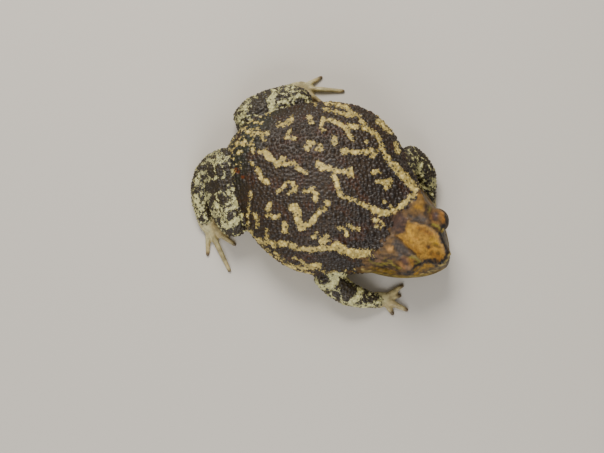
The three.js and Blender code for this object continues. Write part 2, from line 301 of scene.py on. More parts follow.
class Surface:
    """A closed mesh as arrays, in the toad's frame and millimetres."""

    def __init__(self, points: Array, quads: Array) -> None:
        """Keeps the arrays and works out which points are neighbours.

        Args:
            points: rows of x, y and z.
            quads: rows of four point numbers.
        """
        self.points = points
        self.quads = quads
        edges = np.concatenate([quads[:, [n, (n + 1) % 4]] for n in range(4)])
        edges = np.unique(np.sort(edges, axis=1), axis=0)
        both = np.concatenate([edges, edges[:, ::-1]])
        both = both[np.argsort(both[:, 0], kind="stable")]
        self.neighbours = both[:, 1]
        self.degree = np.bincount(both[:, 0], minlength=len(points)).astype(float)
        self.starts = np.concatenate([[0], np.cumsum(self.degree[:-1])]).astype(int)

    def mean_round(self, values: Array) -> Array:
        """The mean of each point's neighbours' values."""
        total = np.add.reduceat(values[self.neighbours], self.starts, axis=0)
        return total / (self.degree[:, None] if values.ndim == 2 else self.degree)

    def blur(self, values: Array, rounds: int) -> Array:
        """Values spread over the surface by so many rounds of averaging."""
        for _ in range(rounds):
            values = 0.2 * values + 0.8 * self.mean_round(values)
        return values

    def relax(self, values: Array, counts: Array) -> Array:
        """Averages each point's values for its own number of rounds."""
        for turn in range(int(counts.max()) + 1):
            rate = 0.9 * np.clip(counts - turn, 0, 1)
            values = values + (self.mean_round(values) - values) * rate[:, None]
        return values

    def smooth(self, counts: Array) -> None:
        """Takes facets away without shrinking the form.

        Args:
            counts: rounds of averaging for each point.
        """
        soft = self.relax(self.points, counts)
        self.points = soft + self.relax(self.points - soft, counts)

    def normals(self) -> Array:
        """Each point's unit normal."""
        a, b, c, d = (self.points[self.quads[:, n]] for n in range(4))
        face = np.cross(c - a, d - b)
        total = np.zeros_like(self.points)
        for corner in range(4):
            for axis in range(3):
                total[:, axis] += np.bincount(self.quads[:, corner], face[:, axis], len(self.points))
        return total / np.maximum(np.linalg.norm(total, axis=1), 1e-9)[:, None]

    def raise_by(self, heights: Array, normals: Array | None = None) -> None:
        """Moves each point out along its normal by its own height."""
        self.points = self.points + (self.normals() if normals is None else normals) * heights[:, None]


@dataclass
class Hide:
    """The flesh solids joined into one closed surface, without facets or seams."""

    toad: ToadFrame
    shift: Array
    voxel: float = 0.5
    swell: float = 0.3
    eyeball: float = 6.2
    share_rounds: int = 8
    smooth_rounds: int = 12
    border_rounds: int = 5
    limbs: tuple[str, ...] = ("upper_arm", "forearm", "thigh", "shank", "tarsus")
    digits: tuple[str, ...] = ("hand", "foot")
    surface: Surface = field(init=False)
    share: dict[Flesh, Array] = field(init=False)
    part: Array = field(init=False)
    names: list[str] = field(init=False)

    def nodes(self) -> dict[str, Flesh]:
        """The names of the solids that the skin covers, and what kind of flesh each is."""
        kinds = {"trunk": Flesh.TRUNK, "head": Flesh.HEAD}
        for side in Side:
            kinds.update({f"{limb}_{side.word}": Flesh.LIMB for limb in self.limbs})
            kinds.update({f"{digit}_{side.word}": Flesh.DIGIT for digit in self.digits})
        return kinds

    def gather(self) -> tuple[bpy.types.Object, BVHTree, Array]:
        """Copies the solids, a little swollen so that they touch.

        Returns:
            The joined copy, a tree of the true solids' faces, and the node that each face is of.
        """
        joined = bmesh.new()
        corners: list[Vector] = []
        faces: list[tuple[int, ...]] = []
        owners: list[int] = []
        for number, name in enumerate(self.names):
            solid = bmesh.new()
            solid.from_mesh(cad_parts[name].data)
            bmesh.ops.remove_doubles(solid, verts=solid.verts, dist=1e-6)
            solid.normal_update()
            base = len(corners)
            corners += [v.co.copy() for v in solid.verts]
            faces += [tuple(base + v.index for v in f.verts) for f in solid.faces]
            owners += [number] * len(solid.faces)
            moved = [joined.verts.new(v.co + v.normal * self.swell * MM) for v in solid.verts]
            for f in solid.faces:
                joined.faces.new([moved[v.index] for v in f.verts])
            solid.free()
        for side in Side:
            place = (self.toad.eye_centre(side) - self.shift) * MM
            spot = Matrix.Translation(Vector(place))
            radius = (self.eyeball + self.swell) * MM
            bmesh.ops.create_icosphere(joined, subdivisions=3, radius=radius, matrix=spot)
        mesh = bpy.data.meshes.new("flesh_joined")
        joined.to_mesh(mesh)
        joined.free()
        obj = add_object("flesh_joined", mesh)
        return obj, BVHTree.FromPolygons(corners, faces), np.array(owners)

    def remesh(self, obj: bpy.types.Object) -> Surface:
        """One even grid of quads over the joined copy, without any closed hollow inside it."""
        change = obj.modifiers.new("even", "REMESH")
        change.mode = "VOXEL"
        change.voxel_size = self.voxel * MM
        even = obj.evaluated_get(bpy.context.evaluated_depsgraph_get()).to_mesh()
        points = np.empty(len(even.vertices) * 3)
        even.vertices.foreach_get("co", points)
        loops = np.empty(len(even.loops), dtype=int)
        even.loops.foreach_get("vertex_index", loops)
        quads = loops.reshape(-1, 4)
        points = points.reshape(-1, 3) / MM + self.shift
        bpy.data.objects.remove(obj)
        return self.largest(points, quads)

    @staticmethod
    def largest(points: Array, quads: Array) -> Surface:
        """The surface that has the most points, when a remesh gives several."""
        label = np.arange(len(points))
        while True:
            low = label[quads].min(axis=1)
            fresh = label.copy()
            for corner in range(4):
                np.minimum.at(fresh, quads[:, corner], low)
            fresh = fresh[fresh]
            if np.array_equal(fresh, label):
                break
            label = fresh
        names, sizes = np.unique(label, return_counts=True)
        keep = label == names[sizes.argmax()]
        number = np.cumsum(keep) - 1
        kept = quads[keep[quads[:, 0]]]
        return Surface(points[keep], number[kept])

    def build(self) -> None:
        """Makes the surface and says which flesh each point belongs to."""
        kinds = self.nodes()
        self.names = list(kinds)
        obj, tree, owners = self.gather()
        surface = self.remesh(obj)
        packed = (surface.points - self.shift) * MM
        faces = [tree.find_nearest(Vector(p))[2] for p in packed]
        self.part = owners[np.array(faces)]
        kind = np.array([kinds[name].value for name in self.names])[self.part]
        self.share = {k: surface.blur((kind == k.value).astype(float), self.share_rounds) for k in Flesh}
        surface.smooth(surface.blur(kind.astype(float), self.smooth_rounds))
        surface.raise_by(np.full(len(surface.points), -self.swell))
        self.surface = surface
        LOG.info("hide: %d points", len(surface.points))

    def belongs(self, *words: str) -> Array:
        """1 on the nodes whose names start with one of the words, and 0 elsewhere, with soft borders."""
        chosen = np.array([name.startswith(words) for name in self.names])
        return self.surface.blur(chosen[self.part].astype(float), self.border_rounds)


@dataclass(frozen=True)
class Relief:
    """The folds, ridges and openings that are modelled on the hide."""

    toad: ToadFrame
    view: Viewpoint
    eye_radius: float = 6.2
    lid_rim: float = 0.55
    lid_depth: float = 1.35
    opening_across: float = math.radians(52)
    opening_up: float = math.radians(25)
    opening_level: float = math.radians(-8)
    opening_forward: float = math.radians(10)
    jaw_half: float = 31.0
    mouth_level: float = 9.6
    mouth_rise: float = 2.4
    mouth_depth: float = 0.75
    nostril: tuple[float, float, float] = (34.4, 3.7, 27.0)
    eardrum: Point = (8.4, 20.6)
    eardrum_radius: float = 3.0
    line_half: float = 0.6
    upper_lip: float = 0.4
    lower_lip: float = 0.3
    nostril_rim: float = 0.35
    nostril_depth: float = 1.3
    eardrum_step: float = 0.35
    ridge_half: float = 1.1
    ridge_height: float = 0.9
    gland_height: float = 1.3
    fold_lip: float = 0.5
    fold_depth: float = 0.6
    groove_depth: float = 0.25
    groove_way: Point = (1.71, 3.04)
    groove_phase: float = -7.106

    def open_eyes(self, hide: Hide) -> Array:
        """Parts the lids over each eyeball.

        Args:
            hide: the surface that is changed.

        Returns:
            1 on the lids' rims and inside them, which are painted near-black, and 0 elsewhere.
        """
        surface = hide.surface
        wet = np.zeros(len(surface.points))
        for side in Side:
            centre = self.toad.eye_centre(side)
            c, s = math.cos(self.opening_forward), math.sin(self.opening_forward)
            outward = self.toad.turn((s, c * side.value, 0.0))
            forward = self.toad.turn((c, -s * side.value, 0.0))
            away = surface.points - centre
            far = np.linalg.norm(away, axis=1)
            near = (far < 10) & (away @ outward > 0)
            gap = away[near]
            reach = far[near]
            across = np.arctan2(gap @ forward, gap @ outward) / self.opening_across
            up = (np.arcsin(np.clip(gap[:, 2] / reach, -1, 1)) - self.opening_level) / self.opening_up
            edge = np.abs(up) ** 1.5 + across**2 - 1
            lid = np.where(edge < 1.1, np.maximum(reach, self.eye_radius + self.lid_rim), reach)
            lid = reach + (lid - reach) * (1 - smoothstep(0.5, 1.1, edge))
            fold = bell(edge - 1.15, 0.2) - 0.6 * bell(edge - 0.35, 0.3)
            lid = lid - 0.35 * fold * smoothstep(1.3, 0.9, np.abs(across))
            sunk = self.eye_radius - self.lid_depth
            lid = lid + (sunk - lid) * smoothstep(0.08, -0.16, edge)
            surface.points[near] = centre + gap * (lid / reach)[:, None]
            wet[near] = np.maximum(wet[near], smoothstep(0.3, 0.0, edge))
        return wet

    def jaw_line(self, x: Array) -> Array:
        """The height of the mouth's line along the head."""
        return self.mouth_level + self.mouth_rise * smoothstep(22, 38, x)

    def mouth(self, head: Array, normals: Array) -> Array:
        """How far the closed mouth's line and its lips stand off the head."""
        x = head[:, 0]
        z = head[:, 2]
        level = np.sqrt(1 - np.clip(normals[:, 2], -1, 1) ** 2)
        share = smoothstep(-3.5, 0.5, x) * smoothstep(0.35, 0.7, level)
        share = share * smoothstep(0.45, 0.65, self.edge(head))
        up = z - self.jaw_line(x)
        line = -self.mouth_depth * bell(up, self.line_half)
        lips = self.upper_lip * bell(up - 2.0, 1.3) + self.lower_lip * bell(up + 1.7, 1.1)
        return share * (line + lips)

    def edge(self, head: Array) -> Array:
        """0 in the middle of the head and 1 on the outline of its jaw."""
        along = np.clip((head[:, 0] + 9) / 48, 0, 1)
        half = self.jaw_half * np.maximum(1 - along**1.9, 1e-6) ** (1 / 1.4)
        ring = np.abs(head[:, 1]) / np.maximum(half, 0.5)
        return np.clip(np.maximum(ring, smoothstep(30, 38, head[:, 0])), 0, 1)

    def nostrils(self, head: Array) -> Array:
        """The two small rimmed nostrils near the snout's tip."""
        x, y, z = self.nostril
        spot = np.column_stack([head[:, 0] - x, np.abs(head[:, 1]) - y, (head[:, 2] - z) * 0.3])
        far = np.linalg.norm(spot, axis=1)
        return self.nostril_rim * bell(far - 1.6, 0.6) - self.nostril_depth * bell(far, 0.8)

    def eardrums(self, head: Array, normals: Array) -> Array:
        """The round eardrums behind the eyes, each in its low ring."""
        x, z = self.eardrum
        far = np.hypot(head[:, 0] - x, (head[:, 2] - z) * 0.85)
        beside = smoothstep(0.25, 0.6, np.abs(normals[:, 1])) * smoothstep(12, 16, np.abs(head[:, 1]))
        ring = self.eardrum_step * bell(far - self.eardrum_radius, 0.7)
        sunk = self.eardrum_step * smoothstep(self.eardrum_radius, self.eardrum_radius - 0.8, far)
        return beside * (ring - sunk)

    def ridges(self, sheet: Array, head_share: Array) -> Array:
        """The bony ridges from each snout's side up past the eye to the nape."""
        high = np.zeros(len(sheet))
        for line in HEAD_RIDGES:
            high = np.maximum(high, bell(path_distance(sheet, np.array(line)), self.ridge_half))
        return self.ridge_height * high * head_share

    def apply(self, hide: Hide) -> Array:
        """Models everything on the hide.

        Args:
            hide: the surface that is changed.

        Returns:
            1 on the rims of the lids and inside them, which are painted near-black, and 0 elsewhere.
        """
        surface = hide.surface
        normals = surface.normals()
        head = self.toad.of_head(surface.points)
        on_head = hide.share[Flesh.HEAD]
        sheet = self.view.on_sheet(surface.points, HEAD_LEVEL)
        seen = smoothstep(0.05, 0.3, self.view.facing(surface.points, normals))
        rise = self.mouth(head, normals) + self.nostrils(head) + self.eardrums(head, normals)
        rise = rise * on_head + self.ridges(sheet, on_head) * seen
        back = self.view.on_sheet(surface.points, BACK_LEVEL)
        body = np.clip(hide.share[Flesh.TRUNK] + on_head, 0, 1)
        for line, half in PAROTOIDS:
            far = path_distance(back, np.array(line))
            grooves = self.groove_depth * np.sin(back @ np.array(self.groove_way) + self.groove_phase)
            rise += (self.gland_height + grooves) * smoothstep(half + 1.4, half - 0.8, far) * body * seen
        fold = path_distance(back, np.array(FLANK_FOLD))
        pleat = self.fold_lip * bell(fold - 1.4, 0.9) - self.fold_depth * bell(fold, 0.8)
        rise += pleat * hide.share[Flesh.TRUNK] * seen
        surface.raise_by(rise, normals)
        return self.open_eyes(hide)


@dataclass(frozen=True)
class WartKind:
    """One kind of wart: how far apart its warts grow, how wide each is, and how much room it needs."""

    apart: float
    smallest: float
    largest: float
    steep: float
    needs: float
    thinned: float = 1.0


@dataclass
class Warts:
    """The glossy beads that crowd the back and the limbs."""

    seed: int = 11
    big: WartKind = WartKind(4.6, 1.25, 1.7, 0.62, 0.8, 0.04)
    small: WartKind = WartKind(2.05, 0.7, 1.1, 0.62, 0.25)
    thin_behind: float = -25.0
    thin_over: float = 45.0
    thinnest: float = 0.15
    elbow_room: float = 1.08
    skirt: float = 1.12
    valley: float = 0.12
    beads: list[tuple[Array, float, float]] = field(default_factory=list)

    def grow(self, surface: Surface, allowed: Array) -> None:
        """Chooses where the warts stand, the big ones first.

        Args:
            surface: the hide.
            allowed: how thickly warts grow at each point, from 0 to 1.
        """
        rng = np.random.default_rng(self.seed)
        cells: dict[Cell, list[tuple[Array, float]]] = {}
        size = self.big.apart
        for kind in (self.big, self.small):
            choice = rng.permutation(np.flatnonzero(allowed > kind.needs))
            luck = rng.random(len(choice))
            wide = rng.random(len(choice))
            for index, chance, width in zip(choice, luck, wide):
                place = surface.points[index]
                ahead = max(self.thinnest, (place[0] - self.thin_behind) / self.thin_over)
                ahead = 1.0 if kind is self.small else min(1.0, ahead)
                if chance > kind.thinned * ahead * min(1.0, allowed[index] + 0.2):
                    continue
                cell = tuple((place // size).astype(int))
                radius = kind.smallest + (kind.largest - kind.smallest) * width
                radius *= 0.75 + 0.25 * allowed[index]
                if self.crowded(cells, cell, place, radius, kind):
                    continue
                cells.setdefault(cell, []).append((place, radius))
                self.beads.append((place, radius, radius * kind.steep))
        LOG.info("warts: %d", len(self.beads))

    def crowded(self, cells: dict, cell: Cell, place: Array, radius: float, kind: WartKind) -> bool:
        """True if another wart is too near for this one."""
        for dx in (-1, 0, 1):
            for dy in (-1, 0, 1):
                for dz in (-1, 0, 1):
                    for other, wide in cells.get((cell[0] + dx, cell[1] + dy, cell[2] + dz), ()):
                        gap = other - place
                        room = kind.apart if kind is self.big else (radius + wide) * self.elbow_room
                        if gap @ gap < room * room:
                            return True
        return False

    def raise_on(self, surface: Surface, allowed: Array) -> tuple[Array, Array]:
        """Raises the warts on the hide.

        Args:
            surface: the hide, which is changed.
            allowed: how thickly warts grow at each point, from 0 to 1.

        Returns:
            How high up a wart each point is, from 0 to 1, and a chance number for that wart.
        """
        self.grow(surface, allowed)
        tree = KDTree(len(self.beads))
        for number, (place, _, _) in enumerate(self.beads):
            tree.insert(Vector(place), number)
        tree.balance()
        nearest = [tree.find(Vector(p)) for p in surface.points]
        which = np.array([n[1] for n in nearest])
        far = np.array([n[2] for n in nearest])
        radius = np.array([b[1] for b in self.beads])[which]
        height = np.array([b[2] for b in self.beads])[which]
        up = np.clip(1 - (far / (radius * self.skirt)) ** 2, 0, 1)
        surface.raise_by(height * up**0.9 - self.valley * (allowed > 0.2) * (up <= 0))
        return up, np.random.default_rng(self.seed).random(len(self.beads))[which]


# Marks are laid on level sheets along the camera's lines. These are the sheets' heights in millimetres.
BACK_LEVEL = 40.0
HEAD_LEVEL = 35.0
GROUND_LEVEL = 0.0

# What is modelled is in millimetres on the back's sheet or the head's.
PAROTOIDS: tuple[tuple[tuple[Point, ...], float], ...] = (
    (((29.8, 26.45), (36.8, 23.45), (45.8, 19.45)), 3.6),
    (((20.8, -31.15), (26.4, -31.55), (32, -30.75), (36.8, -28.35), (40.8, -25.95)), 3.6),
)
FLANK_FOLD: tuple[Point, ...] = (
    (-45.6, -10.75), (-41.6, -18.75), (-37.6, -24.35), (-35.2, -29.15), (-32.8, -34.75), (-30.4, -40.35),
    (-28, -46.75), (-23.2, -51.55), (-19.2, -53.15),
)
HEAD_RIDGES: tuple[tuple[Point, ...], ...] = (
    ((47.8, -10.7), (54, -11.4), (58.9, -13.8), (65.6, -15.3), (68.1, -16.2)),
    ((68.1, -16.2), (72.8, -14.4), (76.3, -12.6), (80.7, -10.9)),
    ((50.5, 2.2), (56.3, 3.5), (61.9, 5.3), (66.7, 3.9), (70.5, 3.1)),
    ((70.5, 3.1), (73.1, 0), (76.5, -2.6), (80.3, -5)),
    ((68.1, -16.2), (68.2, -19)),
    ((70.5, 3.1), (71, 5.5)),
)


@dataclass(frozen=True)
class Stroke:
    """One brush stroke: its middle line in pixels of the photograph, and half its width in millimetres."""

    half: float
    line: tuple[Point, ...]


BACK_STROKES: tuple[Stroke, ...] = (
    # left stripe from the hip to the parotoid
    Stroke(1.2, ((326, 102.7), (338.8, 104.6), (346.9, 106.7), (351.4, 112.7), (359.8, 117.2),
           (362.6, 123.7), (371.1, 130.9))),
    Stroke(1.5, ((371.1, 130.9), (378.2, 138.1), (381, 144.6), (384.7, 152.4), (389, 162),
           (396.4, 168.7))),
    Stroke(2.5, ((394.8, 166.6), (403.9, 175.2), (414.5, 188.5))),
    # left side
    Stroke(0.9, ((324.2, 109.2), (335.1, 111.7), (343.3, 113.5), (350.1, 115.3), (360.7, 118.3))),
    Stroke(1.2, ((323.5, 119.3), (330.5, 120.5), (338.1, 123.5), (344.4, 126.2), (351.9, 126.6),
           (360.7, 127.2), (369.8, 130.6))),
    Stroke(1.1, ((323.5, 119.3), (321, 126.9), (323.8, 130.5))),
    Stroke(1.1, ((344.4, 126.2), (345.5, 130.1), (349.1, 134.9), (353.1, 139.1))),
    Stroke(1.8, ((335, 138.3), (333.8, 142.2))),
    Stroke(1.3, ((366.9, 140.7),)),
    Stroke(1.5, ((343, 151.2), (352.8, 151.6), (363.2, 152.3), (371.8, 150.5), (375.5, 150.9),
           (372.7, 156.2))),
    Stroke(1.1, ((309.5, 116.8), (311.6, 121.5))),
    Stroke(1.1, ((315.7, 103.5), (314.8, 100.2))),
    Stroke(1.2, ((291.8, 118.4), (288.7, 121.4), (278.9, 125.4))),
    Stroke(1.1, ((290.5, 129.7), (286.1, 138), (294.1, 137.4))),
    # ring that is open below
    Stroke(1.9, ((308.1, 147.4), (308.4, 145.3))),
    Stroke(2.2, ((319.4, 149.2),)),
    Stroke(0.9, ((308.7, 141.7), (315.6, 143.3), (321.5, 146.6))),
    # line down the back
    Stroke(1.2, ((236.4, 143.3), (242.6, 143.3), (248.7, 144.8), (252.4, 143.7), (253.1, 152.3))),
    Stroke(1.6, ((261.1, 151.8), (265.7, 150.3), (267.5, 155.7), (277.2, 163.6), (282.8, 158.8),
           (285.2, 163.1))),
    Stroke(1.2, ((288.6, 162.5), (294.1, 163.7), (299.3, 168.6), (306.3, 172.8))),
    # rump
    Stroke(1.2, ((267.8, 133.4), (262.3, 135.1), (263.4, 140.2))),
    Stroke(1.0, ((242.8, 129.9), (252.5, 133.3), (261.7, 131.8))),
    # long line from the middle of the back to the nape
    Stroke(1.3, ((317.8, 161.2), (317.1, 166.9), (327.6, 167.6), (334, 170), (343.5, 172.5),
           (349.7, 169.5), (350.9, 173.1), (351.2, 175.6))),
    Stroke(1.9, ((320.3, 165.3),)),
    Stroke(2.1, ((350.7, 172.8),)),
    Stroke(1.2, ((334, 170), (333.7, 175.1), (336.1, 179.4), (337.7, 183.9), (338, 189.3), (341, 195.4),
           (348.7, 198.5))),
    Stroke(1.3, ((348.7, 198.5), (358, 201.6), (366.6, 205.9), (374.4, 209), (378.7, 212.6))),
    Stroke(2.2, ((378.7, 212.6),)),
    Stroke(1.7, ((374.5, 211.1), (380.2, 211.1), (386, 212.5), (392.5, 211.1), (400.8, 206.6),
           (408.5, 200.2), (414.9, 194.3))),
    # right flank
    Stroke(1.0, ((249.9, 240), (258.1, 249), (267.9, 257.1), (280, 263.5), (292, 267.5), (302.9, 267.9))),
    Stroke(0.7, ((262, 246), (257, 250))),
    Stroke(0.8, ((274, 252.9), (283.1, 259.5))),
    Stroke(0.8, ((293.9, 257), (304, 262.5))),
    Stroke(0.7, ((250, 231), (255.9, 239), (262, 243))),
    # nape
    Stroke(1.1, ((384.2, 201.8),)),
    Stroke(1.1, ((391, 206.7), (391.1, 212.7))),
    Stroke(0.9, ((372.2, 219.3), (380.3, 221.8), (383.4, 224.8), (380.3, 227.9), (376.6, 226))),
    # left shoulder
    Stroke(1.2, ((373.7, 172.4), (378.9, 171.2))),
    Stroke(1.2, ((377.4, 181.8), (384.1, 180.6), (390.3, 180.7))),
    Stroke(0.8, ((384.2, 183.6), (388.6, 182.5), (390.5, 186.4), (385.9, 187.9))),
    # right side
    Stroke(1.3, ((304.7, 190.9), (312.7, 188.8), (315.8, 193.4), (315.4, 200))),
    Stroke(2.0, ((327.2, 202.7),)),
    Stroke(1.5, ((324.3, 208.3), (317.5, 214), (313.1, 221), (305, 226.1), (300.7, 227))),
    Stroke(2.0, ((300.7, 227), (298.3, 221.2), (297.7, 213.2), (294.7, 207.1), (291, 206.8))),
    Stroke(1.1, ((286.3, 183.2), (289.2, 182), (293.3, 183.7), (295.4, 187.8))),
    Stroke(1.1, ((286.3, 183.2), (282, 188.3), (277.5, 192.5))),
    Stroke(1.1, ((295.4, 187.8), (292.5, 191.2), (288.6, 193.5))),
    Stroke(1.2, ((257.5, 168.8), (260.2, 175.5), (262.3, 180.3), (268.4, 181.9))),
    Stroke(1.2, ((251.6, 164),)),
    Stroke(1.0, ((270, 203.9), (267.4, 210.3), (267.4, 214.8), (273.5, 217.9), (278.5, 215.8))),
    Stroke(1.8, ((284, 224.7), (285.5, 230.8))),
    Stroke(1.9, ((314.9, 235.6),)),
    Stroke(1.1, ((322.3, 239.4), (327.9, 236))),
    Stroke(1.1, ((321.7, 242.1), (328.5, 240.9))),
    # right stripe from the hip to the parotoid
    Stroke(1.5, ((258.4, 241), (268.3, 242.9), (275.1, 244.8), (283.8, 243), (290.6, 244.9),
           (297.7, 249.3), (304.2, 248.7))),
    Stroke(1.7, ((304.2, 248.7), (312.9, 250), (321.6, 248.2), (329.7, 247.7), (336.9, 245.9))),
    Stroke(2.5, ((336.9, 245.9), (345.3, 250.9), (354.6, 254), (363.9, 254.1), (372, 253.5))),
    Stroke(1.1, ((266.6, 231.3), (265.8, 238.6))),
    Stroke(1.1, ((254.4, 214.4), (257.4, 219), (257.6, 226))),
    Stroke(0.6, ((250.5, 193), (249.7, 199.8), (248.9, 210.1), (248.3, 220.2), (248.1, 230.8),
           (251.7, 241.1))),
    Stroke(1.0, ((337.2, 228.5), (344.1, 228.8), (347.1, 235))),
    Stroke(1.0, ((348.4, 226.4), (358.9, 230.2))),
    Stroke(1.6, ((304.1, 267.2), (316, 265.4), (320.3, 266.1))),
    # left flank
    Stroke(1.5, ((379, 121.4), (385.2, 127.4), (390.4, 132.2))),
    Stroke(1.4, ((395.6, 143), (397.5, 151.3))),
)

LIMB_STROKES: tuple[Stroke, ...] = (
    # right leg
    Stroke(1.2, ((207.6, 160.2), (215.7, 162.9))),
    Stroke(1.3, ((197.8, 174.4), (205.8, 171.8))),
    Stroke(1.1, ((195.1, 179.8), (196.9, 184.3))),
    Stroke(2.2, ((196, 197.7), (197.8, 203.9), (202.4, 208.4))),
    Stroke(1.2, ((204.1, 203.1), (206, 198.6))),
    Stroke(1.2, ((207.7, 197.7), (212.2, 191.4), (219.3, 190.4))),
    Stroke(1.1, ((215.7, 203.1), (216.5, 208.4))),
    Stroke(1.7, ((213.9, 212.9), (214, 215.5))),
    Stroke(1.2, ((218.4, 212.8), (220.2, 216.4))),
    Stroke(1.0, ((228.3, 189.7), (229.1, 195))),
    Stroke(1.0, ((232.6, 195), (233.6, 200.4))),
    Stroke(1.4, ((232.7, 188.7), (238, 186.2), (242.6, 189.7))),
    Stroke(1.0, ((234.4, 198.6), (237.1, 203.9), (234.5, 208.4), (227.2, 209.3), (224.6, 214.7))),
    Stroke(1.6, ((242.5, 195.1), (246.1, 202.1), (246.5, 207.6), (243.4, 213.8), (238.9, 219.2))),
    Stroke(2.2, ((238.9, 219.2), (232.7, 223.7), (226.4, 226.3))),
    Stroke(0.9, ((251.4, 187.8), (250.5, 198.6), (251.4, 205.7), (250.5, 216.4), (247.9, 225.3))),
    # left leg
    Stroke(1.4, ((246, 110.2), (242.3, 114.7))),
    Stroke(1.2, ((240.5, 119.4), (236.8, 121.3))),
    Stroke(1.0, ((249.8, 119.4), (257.1, 120.3))),
    Stroke(1.0, ((263.7, 121.2), (261.8, 126.8))),
    Stroke(2.0, ((271.1, 98.1), (272, 109.3))),
    Stroke(1.3, ((273.7, 90.7), (275.7, 94.5), (270.1, 97.1))),
    Stroke(0.8, ((286.7, 85.2), (293.3, 87.9))),
    Stroke(0.8, ((287.6, 89.3), (294.2, 91.7))),
    Stroke(1.1, ((293.2, 102.8), (295.1, 98.1), (299.7, 95.3), (306.1, 98.1), (307.2, 103.7),
           (304.3, 110.2))),
    Stroke(1.1, ((304.3, 110.2), (297.9, 111), (293.3, 107.4))),
    Stroke(1.2, ((283, 102.8), (290.4, 99.1))),
    Stroke(1.0, ((282.1, 107.4), (291.4, 109.2))),
    Stroke(1.2, ((247.9, 101.8), (245.1, 106.4))),
    Stroke(1.2, ((312.7, 103.6), (318.2, 105.5))),
    Stroke(1.3, ((323.7, 110.1), (329.3, 109.2))),
    # right arm
    Stroke(1.3, ((313, 274.9), (316.3, 283), (322.5, 297.6), (331, 303), (341.5, 305))),
    Stroke(2.1, ((318, 269.9), (326, 268), (334, 272), (336, 280), (330.1, 286.5), (320.9, 287))),
    Stroke(1.5, ((334, 271.1), (344, 275.5), (352.9, 281))),
    Stroke(2.1, ((362, 285), (359.4, 293.4), (356, 300), (351.1, 303))),
    Stroke(1.5, ((357.1, 282), (364, 286), (371.9, 290), (378, 293.1))),
    Stroke(1.5, ((352, 304.9), (362.5, 306.6), (372.1, 305), (378.9, 302))),
    Stroke(0.7, ((371, 290.1), (369, 298.1))),
    Stroke(0.7, ((376, 292), (374, 301))),
    Stroke(2.2, ((381, 292), (383.9, 298))),
    # left arm
    Stroke(1.8, ((419.8, 164.1), (418.9, 172.4))),
    Stroke(1.6, ((427.9, 188.2), (436.2, 180.8))),
    Stroke(1.2, ((418, 184), (424.7, 187.3))),
)

LIMB_SHADES: tuple[Stroke, ...] = (
    Stroke(5.5, ((259.5, 105.9),)),
    Stroke(4.0, ((300, 103.5),)),
    Stroke(4.5, ((211.3, 187.5), (218.3, 184.7))),
    Stroke(5.0, ((347.4, 290.5),)),
    Stroke(2.4, ((325.8, 278.5),)),
    Stroke(2.5, ((427.2, 176.6),)),
    Stroke(1.7, ((370, 298), (376, 297.9))),
)

RUST_SPOTS: tuple[Stroke, ...] = (
    Stroke(1.1, ((236.1, 170), (237.4, 171.5))),
    Stroke(0.8, ((243, 176.9),)),
)

# The toes' tips are in the toad's own millimetres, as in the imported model.
TOE_REACH = 9.0
TOE_TIPS: tuple[Point, ...] = (
    (-39.5, 48.5), (-34.5, 48.6), (-27.5, 50.5), (-19.7, 64.5), (-37, 66.2),
    (-47.5, -46), (-40.5, -48), (-35.3, -52.7), (-30.4, -69.4), (-48, -66.4),
    (60, 7.5), (67, 8.5), (68, 15.5), (65.5, -28), (67, -34.5), (75, -40.8), (68, -47),
)


@dataclass(frozen=True)
class Patch:
    """One colour on the head: an outline in pixels of the photograph, or a line if it has a half width.

    The widths are in millimetres.
    """

    name: str
    colour: Colour
    points: tuple[Point, ...]
    half: float = 0.0
    soft: float = 1.2
    strength: float = 1.0

    def weight(self, sheet: Array, view: Viewpoint) -> Array:
        """How much of the colour each point of the head's sheet takes."""
        path = view.from_photo(self.points, HEAD_LEVEL)
        far = path_distance(sheet, path) if self.half else outline_distance(sheet, path)
        return self.strength * smoothstep(self.half + self.soft / 2, self.half - self.soft / 2, far)


OCHRE = srgb(160, 124, 70)
BROWN = srgb(98, 76, 50)
DEEP = srgb(52, 38, 26)
BLACK = srgb(22, 16, 13)
SLATE = srgb(66, 60, 56)
RIM = srgb(128, 118, 58)
LIP_EDGE = srgb(160, 142, 92)
CREAM = srgb(202, 176, 116)
PURPLE = srgb(64, 42, 38)

# The bare skull's outline is in millimetres on the head's sheet.
SKULL: tuple[Point, ...] = (
    (49, 22.6), (48.6, 18), (48.2, 13), (46, 6.9), (41.6, 2.4), (42.4, -2.8), (44, -7.6), (43.7, -12.8),
    (42.6, -17.2), (43.4, -20.6), (41.4, -23.2), (40.8, -26.9), (38, -30.1), (36, -40), (70, -45), (95, -20),
    (95, 10), (75, 30), (52, 30),
)

